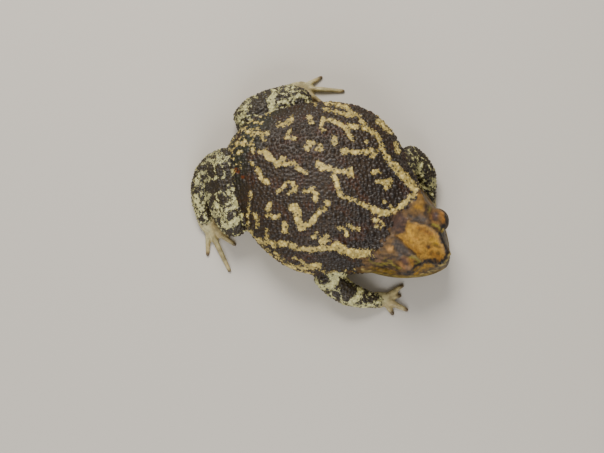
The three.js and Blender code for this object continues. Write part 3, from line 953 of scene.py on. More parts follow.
HEAD_PATCHES: tuple[Patch, ...] = (
    Patch("occiput", srgb(74, 54, 44), ((393.3, 212.4), (401.9, 212.4), (407.2, 219.3), (405, 231.4),
          (396.7, 234.1), (390.6, 227.5)), soft=3.2),
    Patch("right corner", BROWN, ((375.7, 254.6), (381.6, 245.5), (390.3, 241.5), (390.5, 254.5),
          (384.8, 262), (375.4, 261.7)), soft=2.8, strength=0.9),
    Patch("right corner light", srgb(172, 134, 88), ((389.8, 249.3),), half=1.7, soft=2.4, strength=0.8),
    Patch("right corner pink", srgb(128, 92, 72), ((377.2, 260.5),), half=2.2, soft=2.4, strength=0.8),
    Patch("left corner", srgb(120, 92, 52), ((417.4, 192.9), (423.6, 192.2), (428.5, 200.8),
          (425.3, 210.9), (418.2, 212.8), (410.5, 209)), soft=3.0),
    Patch("left corner light", srgb(168, 126, 60), ((416.6, 206.5), (420.6, 206.5)), half=1.5, soft=2.4,
          strength=0.7),
    Patch("right slate", SLATE, ((392.4, 239.2), (399.5, 240.4), (405.8, 246), (410.9, 253.2),
          (409.6, 257.7), (400.8, 256.3), (395, 251.3), (391.8, 244.9)), soft=2.8, strength=0.9),
    Patch("left slate", SLATE, ((408.9, 215.5), (418.2, 215.4), (425.9, 216.2), (428.7, 219.9),
          (426.3, 223.2), (417.3, 221.2), (409.7, 218.7)), soft=2.6, strength=0.9),
    Patch("casque", OCHRE, ((408.1, 221.3), (418.1, 222.7), (427.2, 224.2), (433.7, 229.7),
          (438.7, 234.6), (441.3, 241.2), (445.5, 249.5), (448.3, 258.7), (438, 259.5), (423.1, 258.7),
          (416.3, 252.1), (408.1, 243), (397.2, 234.6), (404.8, 233), (407.7, 228)), soft=2.4),
    Patch("casque brown side", srgb(122, 84, 36), ((401, 239.8), (408.8, 245.4), (417.8, 253)), half=1.1,
          soft=2.6, strength=0.8),
    Patch("casque red brown", srgb(134, 90, 48), ((418.6, 227.4), (425.1, 230.7), (431.7, 234)), half=1.1,
          soft=2.6, strength=0.75),
    Patch("casque pale", srgb(188, 146, 72), ((409.7, 228.3), (411, 241.1)), half=1.0, soft=2.6,
          strength=0.6),
    Patch("casque yellow", srgb(176, 142, 56), ((431.3, 239.1), (437, 243.2)), half=1.1, soft=2.4,
          strength=0.6),
    Patch("snout brown", srgb(128, 88, 44), ((433.9, 253.8), (440.3, 257.6)), half=1.1, soft=2.6,
          strength=0.7),
    Patch("brow brown", srgb(128, 88, 40), ((416.1, 248.7), (420.1, 253)), half=0.9, soft=2.4,
          strength=0.7),
    Patch("dark spot", srgb(92, 62, 34), ((428.4, 245.7),), half=1.9, soft=2.0, strength=0.85),
    Patch("faint spot", srgb(120, 82, 44), ((413.8, 238.5), (417.3, 238.5)), half=0.8, soft=2.0,
          strength=0.7),
    Patch("neck cream", CREAM, ((374.6, 211), (380.4, 211.1), (386.1, 212.4), (392.5, 211.1),
          (400.8, 206.5), (408.4, 200.2), (414.8, 194.4)), half=1.4, soft=1.0),
    Patch("right crest", DEEP, ((394, 237.1), (403.1, 243), (408.8, 250.4), (418.1, 257.9),
          (421.3, 261.2)), half=0.7, soft=1.8, strength=0.8),
    Patch("left crest", DEEP, ((408, 219.7), (417.9, 222.2), (427.9, 223.8), (434.3, 229.6),
          (439.6, 233.7)), half=0.7, soft=1.8, strength=0.8),
    Patch("left lid", srgb(114, 84, 50), ((437.3, 217.8),), half=4.7, soft=2.4),
    Patch("left lid light", srgb(176, 126, 76), ((442.2, 213.4), (443.8, 218), (442.4, 222.2)), half=0.8,
          soft=1.8, strength=0.7),
    Patch("left lid spot", PURPLE, ((433.7, 214.1), (435.5, 218)), half=1.5, soft=2.4, strength=0.9),
    Patch("left lid rim", RIM, ((428.7, 211), (430, 206.6), (433.9, 204.6)), half=0.7, soft=1.4,
          strength=0.85),
    Patch("left brow rim", RIM, ((432.6, 224.4), (437.6, 226.4), (440.9, 230.3)), half=0.9, soft=1.6,
          strength=0.85),
    Patch("left black", BLACK, ((440.9, 206.6), (446, 210.4), (447.2, 216.8), (446.7, 224.5),
          (442.9, 228.2)), half=0.9),
    Patch("left dark line", DEEP, ((426.2, 199.5), (428.1, 204.6), (426.3, 211.7), (428.8, 217.5),
          (431.1, 223.7)), half=0.9, soft=1.8, strength=0.85),
    Patch("right lid", srgb(112, 84, 54), ((406.4, 262.9),), half=4.7, soft=2.4),
    # Painted highlight on the right lid's dome, on its forward side.
    Patch("right lid ochre", srgb(146, 108, 56), ((411, 260.3), (412.2, 265)), half=1.2, soft=2.0,
          strength=0.8),
    Patch("right lid pink", srgb(166, 120, 84), ((401, 266.7), (405.8, 267.7)), half=0.9, soft=1.8,
          strength=0.7),
    Patch("right lid spot", PURPLE, ((402.7, 259.5), (404.5, 262.1)), half=1.6, soft=2.4, strength=0.9),
    Patch("right lid rim", RIM, ((390.7, 263.8), (396.7, 266.8), (399.2, 268.4)), half=0.8, soft=1.4,
          strength=0.85),
    Patch("right lid rear rim", RIM, ((384.3, 259.1), (388.5, 260.4)), half=0.6, soft=1.6, strength=0.6),
    Patch("right brow rim", RIM, ((410.9, 256.4), (416, 258.2), (419.2, 260.7), (416.9, 263.2)), half=0.7,
          soft=1.4, strength=0.85),
    Patch("right lip olive", srgb(112, 88, 34), ((372.7, 268.2), (381.7, 269.6), (391.8, 272.8)),
          half=1.6, soft=2.0),
    Patch("right snout olive", srgb(138, 106, 46), ((415.2, 272.2), (422.2, 268.2), (431, 265.7)),
          half=1.7, soft=1.8),
    Patch("right loreal", BLACK, ((424.3, 260.8), (429.3, 259.9), (436.3, 262.4), (443.4, 262.3),
          (447.6, 257.6)), half=1.4, soft=1.4),
    Patch("left canthus", BLACK, ((441.1, 229.8), (440.9, 238.5), (444.1, 244.9), (446.6, 251.2),
          (447.3, 257.6)), half=0.9, soft=1.4, strength=0.95),
    Patch("left lip olive", srgb(104, 88, 36), ((444.1, 230.9), (446, 236), (447.2, 244.7)), half=0.9,
          soft=1.4),
    Patch("right eye slit", BLACK, ((384.8, 266.6), (389.8, 265.8), (394.2, 268), (398.8, 272.3),
          (406, 274.5), (412.1, 271.7), (416, 265.8), (420.6, 263.3)), half=0.8, soft=1.2, strength=0.9),
    Patch("right lip edge", LIP_EDGE, ((361.2, 269.1), (370.1, 272.2), (377.7, 273.7), (390.5, 276.9),
          (405.8, 278.1), (422.4, 275.3), (435.1, 270.4), (443.5, 265.2), (449.2, 257.6), (450.8, 251.2)),
          half=0.7, soft=1.1, strength=0.9),
    Patch("right lip dark", DEEP, ((371.3, 270.7), (378.7, 272.1), (391.3, 275), (405.7, 275.9),
          (421.6, 273), (433.8, 268.4)), half=0.35, soft=1.0, strength=0.7),
    Patch("left lip edge", LIP_EDGE, ((444.7, 229.5), (447.9, 236), (449.5, 244.2), (450.2, 251.3)),
          half=0.5, soft=1.0, strength=0.8),
    Patch("right pit", srgb(34, 24, 22), ((385.4, 260.8), (391.6, 257.2)), half=0.7, soft=1.4,
          strength=0.85),
    Patch("right pit inside", srgb(140, 104, 86), ((386.9, 259.2), (389.6, 258.3)), half=0.4, soft=1.0,
          strength=0.7),
    Patch("right far pit", srgb(28, 20, 17), ((374.3, 259.4),), half=1.0, soft=1.6, strength=0.6),
    Patch("right lobe", srgb(112, 90, 72), ((374, 257.5), (379, 258.5)), half=2.2, soft=2.2,
          strength=0.8),
    Patch("right lobe rim", RIM, ((368.5, 255.9), (370.6, 261), (376, 264.1), (384.9, 264), (391, 262)),
          half=0.6, soft=1.2, strength=0.8),
    Patch("right lobe edge", DEEP, ((370, 265.1), (377, 267), (387, 267.5)), half=0.6, soft=1.4,
          strength=0.8),
    Patch("right lobe pit", DEEP, ((388, 259),), half=0.8, soft=1.2, strength=0.9),
    Patch("casque light band", srgb(190, 150, 88), ((409, 231.9), (412, 237.9), (419, 242), (427, 243),
          (434, 241)), half=0.9, soft=2.6, strength=0.65),
    Patch("casque light right", srgb(186, 146, 84), ((399, 236), (407, 244), (414.9, 251), (421.9, 259)),
          half=0.7, soft=2.2, strength=0.6),
    Patch("casque brown snout", srgb(128, 92, 50), ((431, 252.9), (438.1, 257)), half=2.2, soft=3.2,
          strength=0.55),
    Patch("casque brown left", srgb(132, 96, 50), ((420, 230), (429, 236)), half=1.3, soft=2.6,
          strength=0.5),
    Patch("casque spot", DEEP, ((428.4, 246),), half=0.9, soft=2.0, strength=0.75),
)


@dataclass(frozen=True)
class Labyrinth:
    """Winding blotches, made from waves that run in many directions."""

    seed: int = 5
    waves: int = 28
    spacing: float = 10.0

    def height(self, points: Array) -> Array:
        """A smooth random height at each point, mostly within 2 of 0."""
        rng = np.random.default_rng(self.seed)
        ways = rng.normal(size=(self.waves, 3))
        ways /= np.linalg.norm(ways, axis=1)[:, None]
        pitch = 2 * math.pi / (self.spacing * rng.uniform(0.8, 1.25, self.waves))
        start = rng.uniform(0, 2 * math.pi, self.waves)
        total = np.zeros(len(points))
        for way, rate, phase in zip(ways, pitch, start):
            total += np.cos(points @ way * rate + phase)
        return total / math.sqrt(self.waves / 2)


@dataclass(frozen=True)
class Livery:
    """Where the toad is dark and where it is pale."""

    toad: ToadFrame
    view: Viewpoint
    dark: Colour = srgb(60, 46, 30)
    ruddy: Colour = srgb(80, 50, 32)
    rump: Colour = srgb(48, 50, 36)
    cream: Colour = srgb(222, 202, 136)
    limb_dark: Colour = srgb(56, 47, 30)
    limb_cream: Colour = srgb(214, 210, 158)
    foot: Colour = srgb(198, 200, 160)
    toe: Colour = srgb(182, 160, 118)
    neck: Colour = srgb(40, 32, 27)
    rust: Colour = srgb(132, 70, 38)
    cheek: Colour = srgb(90, 76, 46)
    tip: Colour = srgb(66, 44, 28)
    flank: Colour = srgb(150, 136, 92)
    belly: Colour = srgb(196, 184, 144)
    head_brown: Colour = srgb(96, 73, 46)
    head_dark: Colour = srgb(36, 26, 18)
    lip: Colour = srgb(120, 102, 46)
    # Near-black painted on the lids' rims and inside them, where the lids meet the eyeballs.
    wet: Colour = srgb(28, 19, 15)
    net_half: float = 0.27
    thinner: float = 0.15
    maze_share: float = 0.35
    maze_slope: float = 2.2
    dots_from: float = 1.15
    rump_edge: Point = (-40, -54)
    neck_edge: Point = (10, 28)
    bare_head_edge: float = 0.9
    mottle: float = 0.22

    def strokes(self, points: Array, strokes: tuple[Stroke, ...], level: float) -> Array:
        """How far outside the nearest stroke each point is along a level sheet, negative inside."""
        sheet = self.view.on_sheet(points, level)
        out = np.full(len(sheet), STROKE_REACH)
        for stroke in strokes:
            line = self.view.from_photo(stroke.line, level)
            out = np.minimum(out, path_distance(sheet, line) - stroke.half)
        return out

    def skull(self, hide: Hide) -> Array:
        """1 on the bare head, and 0 where the beaded skin begins."""
        points = hide.surface.points
        far = outline_distance(self.view.on_sheet(points, HEAD_LEVEL), np.array(SKULL, dtype=float))
        far = far + self.bare_head_edge * Labyrinth(seed=21, spacing=4).height(points)
        steep = smoothstep(0.35, 0.8, 1 - np.abs(hide.surface.normals()[:, 2]))
        far = far + 2.4 * steep * Labyrinth(seed=22, spacing=8).height(points)
        soft = 1 + 2 * steep
        limb = hide.share[Flesh.LIMB] + hide.share[Flesh.DIGIT]
        return smoothstep(1, -1, far / soft) * smoothstep(0.6, 0.3, limb)

    def marking(self, hide: Hide, seen: Array) -> Array:
        """How far outside the pale marks each point is, in millimetres and negative inside."""
        points = hide.surface.points
        high = points[:, 2]
        maze = (self.maze_share - Labyrinth().height(points)) * self.maze_slope
        maze = maze - 1.6 * smoothstep(20, 4, high)
        net = np.abs(Labyrinth(seed=8, spacing=9).height(points)) * 1.5 - self.net_half
        dots = (self.dots_from - Labyrinth(seed=14, spacing=4.5).height(points)) * 0.8
        drawn = self.strokes(points, BACK_STROKES, BACK_LEVEL) + self.thinner
        drawn = np.minimum(drawn, net - 0.15 + 6 * smoothstep(23, 32, high))
        drawn = np.minimum(drawn, dots + 6 * smoothstep(-52, -44, points[:, 0]))
        trunk = drawn + (np.minimum(maze, net) - drawn) * (1 - seen)
        limb = np.minimum(self.strokes(points, LIMB_STROKES, GROUND_LEVEL) + self.thinner, net)
        limb = np.maximum(limb, -self.strokes(points, LIMB_SHADES, GROUND_LEVEL))
        limb = limb + (net - 0.3 - limb) * (1 - seen)
        return np.clip(limb + (trunk - limb) * hide.belongs("trunk", "head"), -4, 4)

    def head_paint(self, hide: Hide, normals: Array) -> Array:
        """The head's colours."""
        points = hide.surface.points
        head = self.toad.of_head(points)
        paint = spread(self.head_brown, len(points))
        drift = [Labyrinth(seed=30 + axis, spacing=5).height(points) for axis in range(2)]
        ripple = [Labyrinth(seed=40 + axis, spacing=2.2).height(points) for axis in range(2)]
        sheet = self.view.on_sheet(points, HEAD_LEVEL)
        sheet = sheet + 0.35 * np.column_stack(drift) + 0.22 * np.column_stack(ripple)
        seen = smoothstep(0.08, 0.36, self.view.facing(points, normals))
        beside = smoothstep(0.3, 0.7, np.sqrt(1 - np.clip(normals[:, 2], -1, 1) ** 2))
        cheek = beside * smoothstep(20, 26, head[:, 0]) * smoothstep(15, 17.5, head[:, 2])
        paint = lerp(paint, self.head_dark, 0.8 * cheek)
        above_lips = smoothstep(11, 15, head[:, 2])
        for patch in HEAD_PATCHES:
            high = 1 if "lip" in patch.name else above_lips
            paint = lerp(paint, patch.colour, patch.weight(sheet, self.view) * seen * high)
        paint = lerp(paint, self.cheek, 0.6 * (1 - seen))
        mottle = Labyrinth(seed=50, spacing=4).height(points)
        mottle = mottle + 0.6 * Labyrinth(seed=51, spacing=2).height(points)
        paint = paint * (1 + self.mottle * np.clip(mottle, -2, 2))[:, None]
        lip = beside * smoothstep(16.5, 14, head[:, 2]) * smoothstep(-4, 0, head[:, 0])
        bars = smoothstep(0.2, 0.7, Labyrinth(seed=9, spacing=8).height(points))
        under = smoothstep(11, 8, head[:, 2]) * smoothstep(-0.15, -0.5, normals[:, 2])
        return layered(
            paint,
            (BROWN, 0.35 * smoothstep(0.8, 1.8, mottle)),
            (self.lip, 0.85 * lip * (1 - seen * 0.4)),
            (self.head_dark, 0.5 * lip * bars),
            (self.belly, 0.9 * under),
        )

    def paint(self, hide: Hide, wet: Array, skull: Array, scatter: Array) -> dict[str, Array]:
        """All the values that the skin's shader reads.

        Args:
            hide: the finished surface.
            wet: 1 on the rims of the lids and inside them, which are painted near-black.
            skull: 1 on the bare head.
            scatter: how far the warts carry the marks' edges in or out.

        Returns:
            Arrays by name: ground and mark colours, and the marking's distance.
        """
        points = hide.surface.points
        normals = hide.surface.blur(hide.surface.normals(), 4)
        seen = smoothstep(-0.02, 0.22, self.view.facing(points, normals))
        limb = np.clip(hide.share[Flesh.LIMB] + hide.share[Flesh.DIGIT], 0, 1)
        digit = hide.share[Flesh.DIGIT]
        ruddy = smoothstep(0.2, 1.6, Labyrinth(seed=17, spacing=12).height(points))
        rust = smoothstep(0.8, -0.3, self.strokes(points, RUST_SPOTS, BACK_LEVEL))
        low = smoothstep(16, 5, points[:, 2]) * smoothstep(0.6, 0.1, normals[:, 2])
        under = smoothstep(-0.1, -0.55, normals[:, 2]) * smoothstep(20, 13, points[:, 2])
        grey = 0.5 + 0.5 * np.tanh(Labyrinth(seed=3, spacing=7).height(points))
        tips = np.full(len(points), TOE_REACH)
        for tip in TOE_TIPS:
            tips = np.minimum(tips, np.linalg.norm(points[:, :2] - np.array(tip), axis=1))
        tanned = (self.toe, digit * smoothstep(15, 6, tips) * 0.7)
        tipped = (self.tip, digit * smoothstep(4.2, 1.2, tips) * 0.85)
        ground = layered(
            spread(self.dark, len(points)),
            (self.limb_dark, limb),
            (self.rump, smoothstep(*self.rump_edge, points[:, 0]) * (1 - limb)),
            (self.neck, 0.6 * smoothstep(*self.neck_edge, points[:, 0]) * (1 - limb)),
            (self.ruddy, 0.6 * ruddy * (1 - limb)),
            (self.rust, 0.8 * rust * (1 - limb)),
            (self.flank, 0.45 * low),
            (self.belly, under),
            (self.foot, digit * (0.45 + 0.5 * grey)),
            tanned,
            tipped,
            (self.head_paint(hide, normals), skull),
            # The lids' rims and the skin inside them painted near-black.
            (self.wet, wet),
        )
        mark = layered(
            spread(self.cream, len(points)),
            (self.limb_cream, limb),
            (self.foot, digit),
            tanned,
            tipped,
            (self.belly, under),
        )
        marking = self.marking(hide, seen) + scatter
        return {"ground": ground, "mark": mark, "marking": marking + (4 - marking) * skull}


class Nodes:
    """A short way to write shader nodes."""

    def __init__(self, tree: bpy.types.NodeTree) -> None:
        """Keeps the tree that the nodes go into."""
        self.tree = tree

    def add(self, kind: str, settings: dict | None = None, **inputs: object) -> bpy.types.Node:
        """Adds a node, sets its properties, and fills or links its inputs.

        Args:
            kind: the node's type.
            settings: properties by name.
            inputs: values or output sockets, by input name with _ for a space, or by number as n0, n1.

        Returns:
            The node.
        """
        node = self.tree.nodes.new(kind)
        for name, value in (settings or {}).items():
            setattr(node, name, value)
        self.fill(node, **inputs)
        return node

    def fill(self, node: bpy.types.Node, **inputs: object) -> None:
        """Fills or links a node's inputs, which are named as in add."""
        for name, value in inputs.items():
            socket = node.inputs[int(name[1:]) if name[1:].isdigit() else name.replace("_", " ")]
            if isinstance(value, bpy.types.NodeSocket):
                self.tree.links.new(value, socket)
            else:
                socket.default_value = value

    def math(self, operation: str, *values: object) -> bpy.types.NodeSocket:
        """The result of a Math node."""
        inputs = dict(zip(("n0", "n1", "n2"), values))
        return self.add("ShaderNodeMath", {"operation": operation}, **inputs).outputs[0]

    def ramp(self, value: object, low: float, high: float, start: float = 0.0, end: float = 1.0) -> object:
        """A value mapped smoothly from one range to another."""
        settings = {"interpolation_type": "SMOOTHSTEP"}
        node = self.add("ShaderNodeMapRange", settings, n0=value, n1=low, n2=high, n3=start, n4=end)
        return node.outputs[0]

    def blend(self, factor: object, a: object, b: object, how: str = "MIX") -> bpy.types.NodeSocket:
        """Two colours mixed."""
        node = self.add("ShaderNodeMix", {"data_type": "RGBA", "blend_type": how}, n0=factor, n6=a, n7=b)
        return node.outputs[2]

    def attribute(self, name: str, output: str) -> bpy.types.NodeSocket:
        """What the mesh holds under a name."""
        return self.add("ShaderNodeAttribute", {"attribute_name": name}).outputs[output]


def new_material(name: str) -> tuple[bpy.types.Material, Nodes, bpy.types.Node]:
    """A new material, its nodes and its shader."""
    material = bpy.data.materials.new(name)
    material.use_nodes = True
    return material, Nodes(material.node_tree), material.node_tree.nodes["Principled BSDF"]


def grain_group() -> bpy.types.ShaderNodeTree:
    """The group that gives living tissue its uneven colour and its fine grain.

    Returns:
        A group with the inputs Colour, Size and Strength, and the outputs Colour and Height.
    """
    group = bpy.data.node_groups.new("grain", "ShaderNodeTree")
    sockets = (
        ("Colour", "INPUT", "Color"),
        ("Size", "INPUT", "Float"),
        ("Strength", "INPUT", "Float"),
        ("Colour", "OUTPUT", "Color"),
        ("Height", "OUTPUT", "Float"),
    )
    for name, way, kind in sockets:
        group.interface.new_socket(name, in_out=way, socket_type=f"NodeSocket{kind}")
    nodes = Nodes(group)
    given = nodes.add("NodeGroupInput")
    place = nodes.add("ShaderNodeTexCoord").outputs["Object"]
    size = given.outputs["Size"]
    coarse = nodes.add("ShaderNodeTexNoise", Vector=place, Scale=size, Detail=4.0, Roughness=0.6)
    fine_size = nodes.math("MULTIPLY", size, 4.5)
    cells = nodes.add("ShaderNodeTexVoronoi", {"feature": "SMOOTH_F1"}, Vector=place, Scale=fine_size)
    tone = nodes.ramp(coarse.outputs[0], 0.3, 0.7, -1.0, 1.0)
    lift = nodes.math("MULTIPLY_ADD", nodes.math("MULTIPLY", tone, given.outputs["Strength"]), 1.0, 1.0)
    shade = nodes.add("ShaderNodeCombineColor", n0=lift, n1=lift, n2=lift).outputs[0]
    colour = nodes.blend(1.0, given.outputs["Colour"], shade, "MULTIPLY")
    height = nodes.math("SUBTRACT", coarse.outputs[0], nodes.math("MULTIPLY", cells.outputs[0], 0.7))
    nodes.add("NodeGroupOutput", Colour=colour, Height=height)
    return group


@dataclass(frozen=True)
class SkinFinish:
    """The toad's damp, beaded skin."""

    roughness: float = 0.46
    bony_matt: float = 0.14
    specular: float = 0.35
    coat: float = 0.06
    coat_roughness: float = 0.2
    saturation: float = 1.14
    value: float = 0.8
    ragged: float = 3.2
    frayed: float = 4.2
    ragged_size: float = 420.0
    fine_size: float = 1300.0
    grain_size: float = 330.0
    grain: float = 0.28
    bump: float = 0.55
    bump_depth: float = 0.0005
    bead_dark: Colour = srgb(26, 18, 12)
    bead_share: float = 0.9
    # Painted shade in the crevices between the warts: the colour that the skin is multiplied by there, and
    # how much. It also darkens the pale marks between their beads, as the real skin is darker there.
    crease_tint: Colour = (0.56, 0.52, 0.44)
    crease: float = 0.75
    mark_edge: Point = (0.4, -0.35)
    bead_edge: Point = (0.1, 0.7)

    def build(self, grain: bpy.types.ShaderNodeTree) -> bpy.types.Material:
        """Makes the material.

        Args:
            grain: the shared grain group.

        Returns:
            A material that reads the skin's attributes.
        """
        material, nodes, shader = new_material("skin")
        place = nodes.add("ShaderNodeTexCoord").outputs["Object"]
        rough = nodes.add("ShaderNodeTexNoise", Vector=place, Scale=self.ragged_size, Detail=3.0,
                          Roughness=0.65)
        fine = nodes.add("ShaderNodeTexNoise", Vector=place, Scale=self.fine_size, Detail=2.0)
        jitter = nodes.math("MULTIPLY_ADD", nodes.math("SUBTRACT", rough.outputs[0], 0.5), self.ragged, 0.0)
        jitter = nodes.math("MULTIPLY_ADD", nodes.math("SUBTRACT", fine.outputs[0], 0.5), self.frayed, jitter)
        edge = nodes.math("ADD", nodes.attribute("marking", "Fac"), jitter)
        pale = nodes.ramp(edge, *self.mark_edge)
        colour = nodes.blend(pale, nodes.attribute("ground", "Color"), nodes.attribute("mark", "Color"))
        # Painted shade: the crevices between the warts are darkened by multiplying the colour.
        between = nodes.math("MULTIPLY", nodes.attribute("crease", "Fac"), self.crease)
        colour = nodes.blend(between, colour, (*self.crease_tint, 1.0), "MULTIPLY")
        tip = nodes.ramp(nodes.attribute("wart", "Fac"), *self.bead_edge)
        spared = nodes.math("SUBTRACT", self.bead_share, nodes.attribute("bead", "Fac"))
        share = nodes.math("SUBTRACT", self.bead_share, nodes.math("MULTIPLY", pale, spared))
        colour = nodes.blend(nodes.math("MULTIPLY", tip, share), colour, (*self.bead_dark, 1.0))
        colour = nodes.add("ShaderNodeHueSaturation", Saturation=self.saturation, Value=self.value,
                           Color=colour).outputs[0]
        mottle = nodes.add("ShaderNodeGroup", {"node_tree": grain}, Colour=colour, Size=self.grain_size,
                           Strength=self.grain)
        bump = nodes.add("ShaderNodeBump", Strength=self.bump, Distance=self.bump_depth,
                         Height=mottle.outputs["Height"])
        matt = self.roughness + self.bony_matt
        nodes.fill(
            shader,
            Base_Color=mottle.outputs["Colour"],
            Normal=bump.outputs[0],
            Roughness=nodes.ramp(nodes.attribute("bony", "Fac"), 0.0, 1.0, self.roughness, matt),
            Specular_IOR_Level=self.specular,
            Coat_Weight=self.coat,
            Coat_Roughness=self.coat_roughness,
        )
        return material


@dataclass(frozen=True)
class EyeFinish:
    """The wet eye: the iris's colours are on the mesh."""

    roughness: float = 0.08
    coat_roughness: float = 0.03
    grain_size: float = 900.0
    grain: float = 0.45

    def build(self, grain: bpy.types.ShaderNodeTree) -> bpy.types.Material:
        """Makes the material.

        Args:
            grain: the shared grain group.

        Returns:
            A glossy material that reads the eye's attribute.
        """
        material, nodes, shader = new_material("eye")
        tint = nodes.attribute("tint", "Color")
        flecks = nodes.add("ShaderNodeGroup", {"node_tree": grain}, Colour=tint, Size=self.grain_size,
                           Strength=self.grain)
        nodes.fill(shader, Base_Color=flecks.outputs["Colour"], Roughness=self.roughness, Coat_Weight=1.0,
                   Coat_Roughness=self.coat_roughness)
        return material


@dataclass(frozen=True)
class PlainFinish:
    """A plain matt surface with a faint unevenness, for the floor."""

    name: str
    colour: Colour
    roughness: float
    unevenness: float = 0.94

    def build(self) -> bpy.types.Material:
        """Makes the material."""
        material, nodes, shader = new_material(self.name)
        noise = nodes.add("ShaderNodeTexNoise", Scale=6.0, Detail=3.0)
        darker = tuple(c * self.unevenness for c in self.colour)
        colour = nodes.blend(noise.outputs[0], (*self.colour, 1.0), (*darker, 1.0))
        nodes.fill(shader, Base_Color=colour, Roughness=self.roughness)
        return material


def add_colours(mesh: bpy.types.Mesh, name: str, colours: Array) -> None:
    """Keeps a colour for each vertex of a mesh under a name."""
    layer = mesh.attributes.new(name, "FLOAT_COLOR", "POINT")
    layer.data.foreach_set("color", np.column_stack([colours, np.ones(len(colours))]).ravel())


def add_values(mesh: bpy.types.Mesh, name: str, values: Array) -> None:
    """Keeps a number for each vertex of a mesh under a name."""
    layer = mesh.attributes.new(name, "FLOAT", "POINT")
    layer.data.foreach_set("value", values.astype(float))


@dataclass
class Skin:
    """The whole toad's skin, one closed mesh that stands for all the flesh solids."""

    toad: ToadFrame
    view: Viewpoint
    shift: Array
    box: tuple[Vector, Vector]
    finish: SkinFinish = SkinFinish()
    scatter: float = 1.1
    limb_warts: float = 0.7
    digit_warts: float = 0.15

    def wart_room(self, hide: Hide, normals: Array, skull: Array) -> Array:
        """How thickly warts grow at each point, from 0 to 1."""
        room = hide.share[Flesh.TRUNK] + self.limb_warts * hide.share[Flesh.LIMB]
        room = room + self.digit_warts * hide.share[Flesh.DIGIT]
        room = room + hide.share[Flesh.HEAD] * (1 - skull)
        room = room * smoothstep(-0.35, 0.05, normals[:, 2])
        return np.clip(room * (1 - skull), 0, 1)

    def fit(self, points: Array) -> Array:
        """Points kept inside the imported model's box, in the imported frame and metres."""
        low, high = (np.array(corner) for corner in self.box)
        return np.clip((points - self.shift) * MM, low, high)

    def build(self, grain: bpy.types.ShaderNodeTree) -> bpy.types.Object:
        """Makes the skin and dresses it.

        Args:
            grain: the shared grain group.

        Returns:
            The skin's object.
        """
        hide = Hide(self.toad, self.shift)
        hide.build()
        wet = Relief(self.toad, self.view).apply(hide)
        normals = hide.surface.blur(hide.surface.normals(), 3)
        livery = Livery(self.toad, self.view)
        skull = livery.skull(hide)
        room = self.wart_room(hide, normals, skull)
        up, chance = Warts().raise_on(hide.surface, room)
        looks = livery.paint(hide, wet, skull, (chance - 0.5) * self.scatter * room)
        mesh = bpy.data.meshes.new("skin")
        mesh.from_pydata(self.fit(hide.surface.points).tolist(), [], hide.surface.quads.tolist())
        mesh.shade_smooth()
        for name in ("ground", "mark"):
            add_colours(mesh, name, looks[name])
        looks.update(wart=up, bead=smoothstep(0.35, 0.6, chance) * 0.9, bony=skull)
        # Painted shade in the crevices between the warts, wherever warts have room to grow.
        looks.update(crease=room * smoothstep(0.45, 0.0, up))
        for name in ("marking", "wart", "bead", "crease", "bony"):
            add_values(mesh, name, looks[name])
        mesh.materials.append(self.finish.build(grain))
        skin = add_object("skin", mesh)
        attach(skin, ROOT)
        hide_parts(*hide.nodes())
        return skin


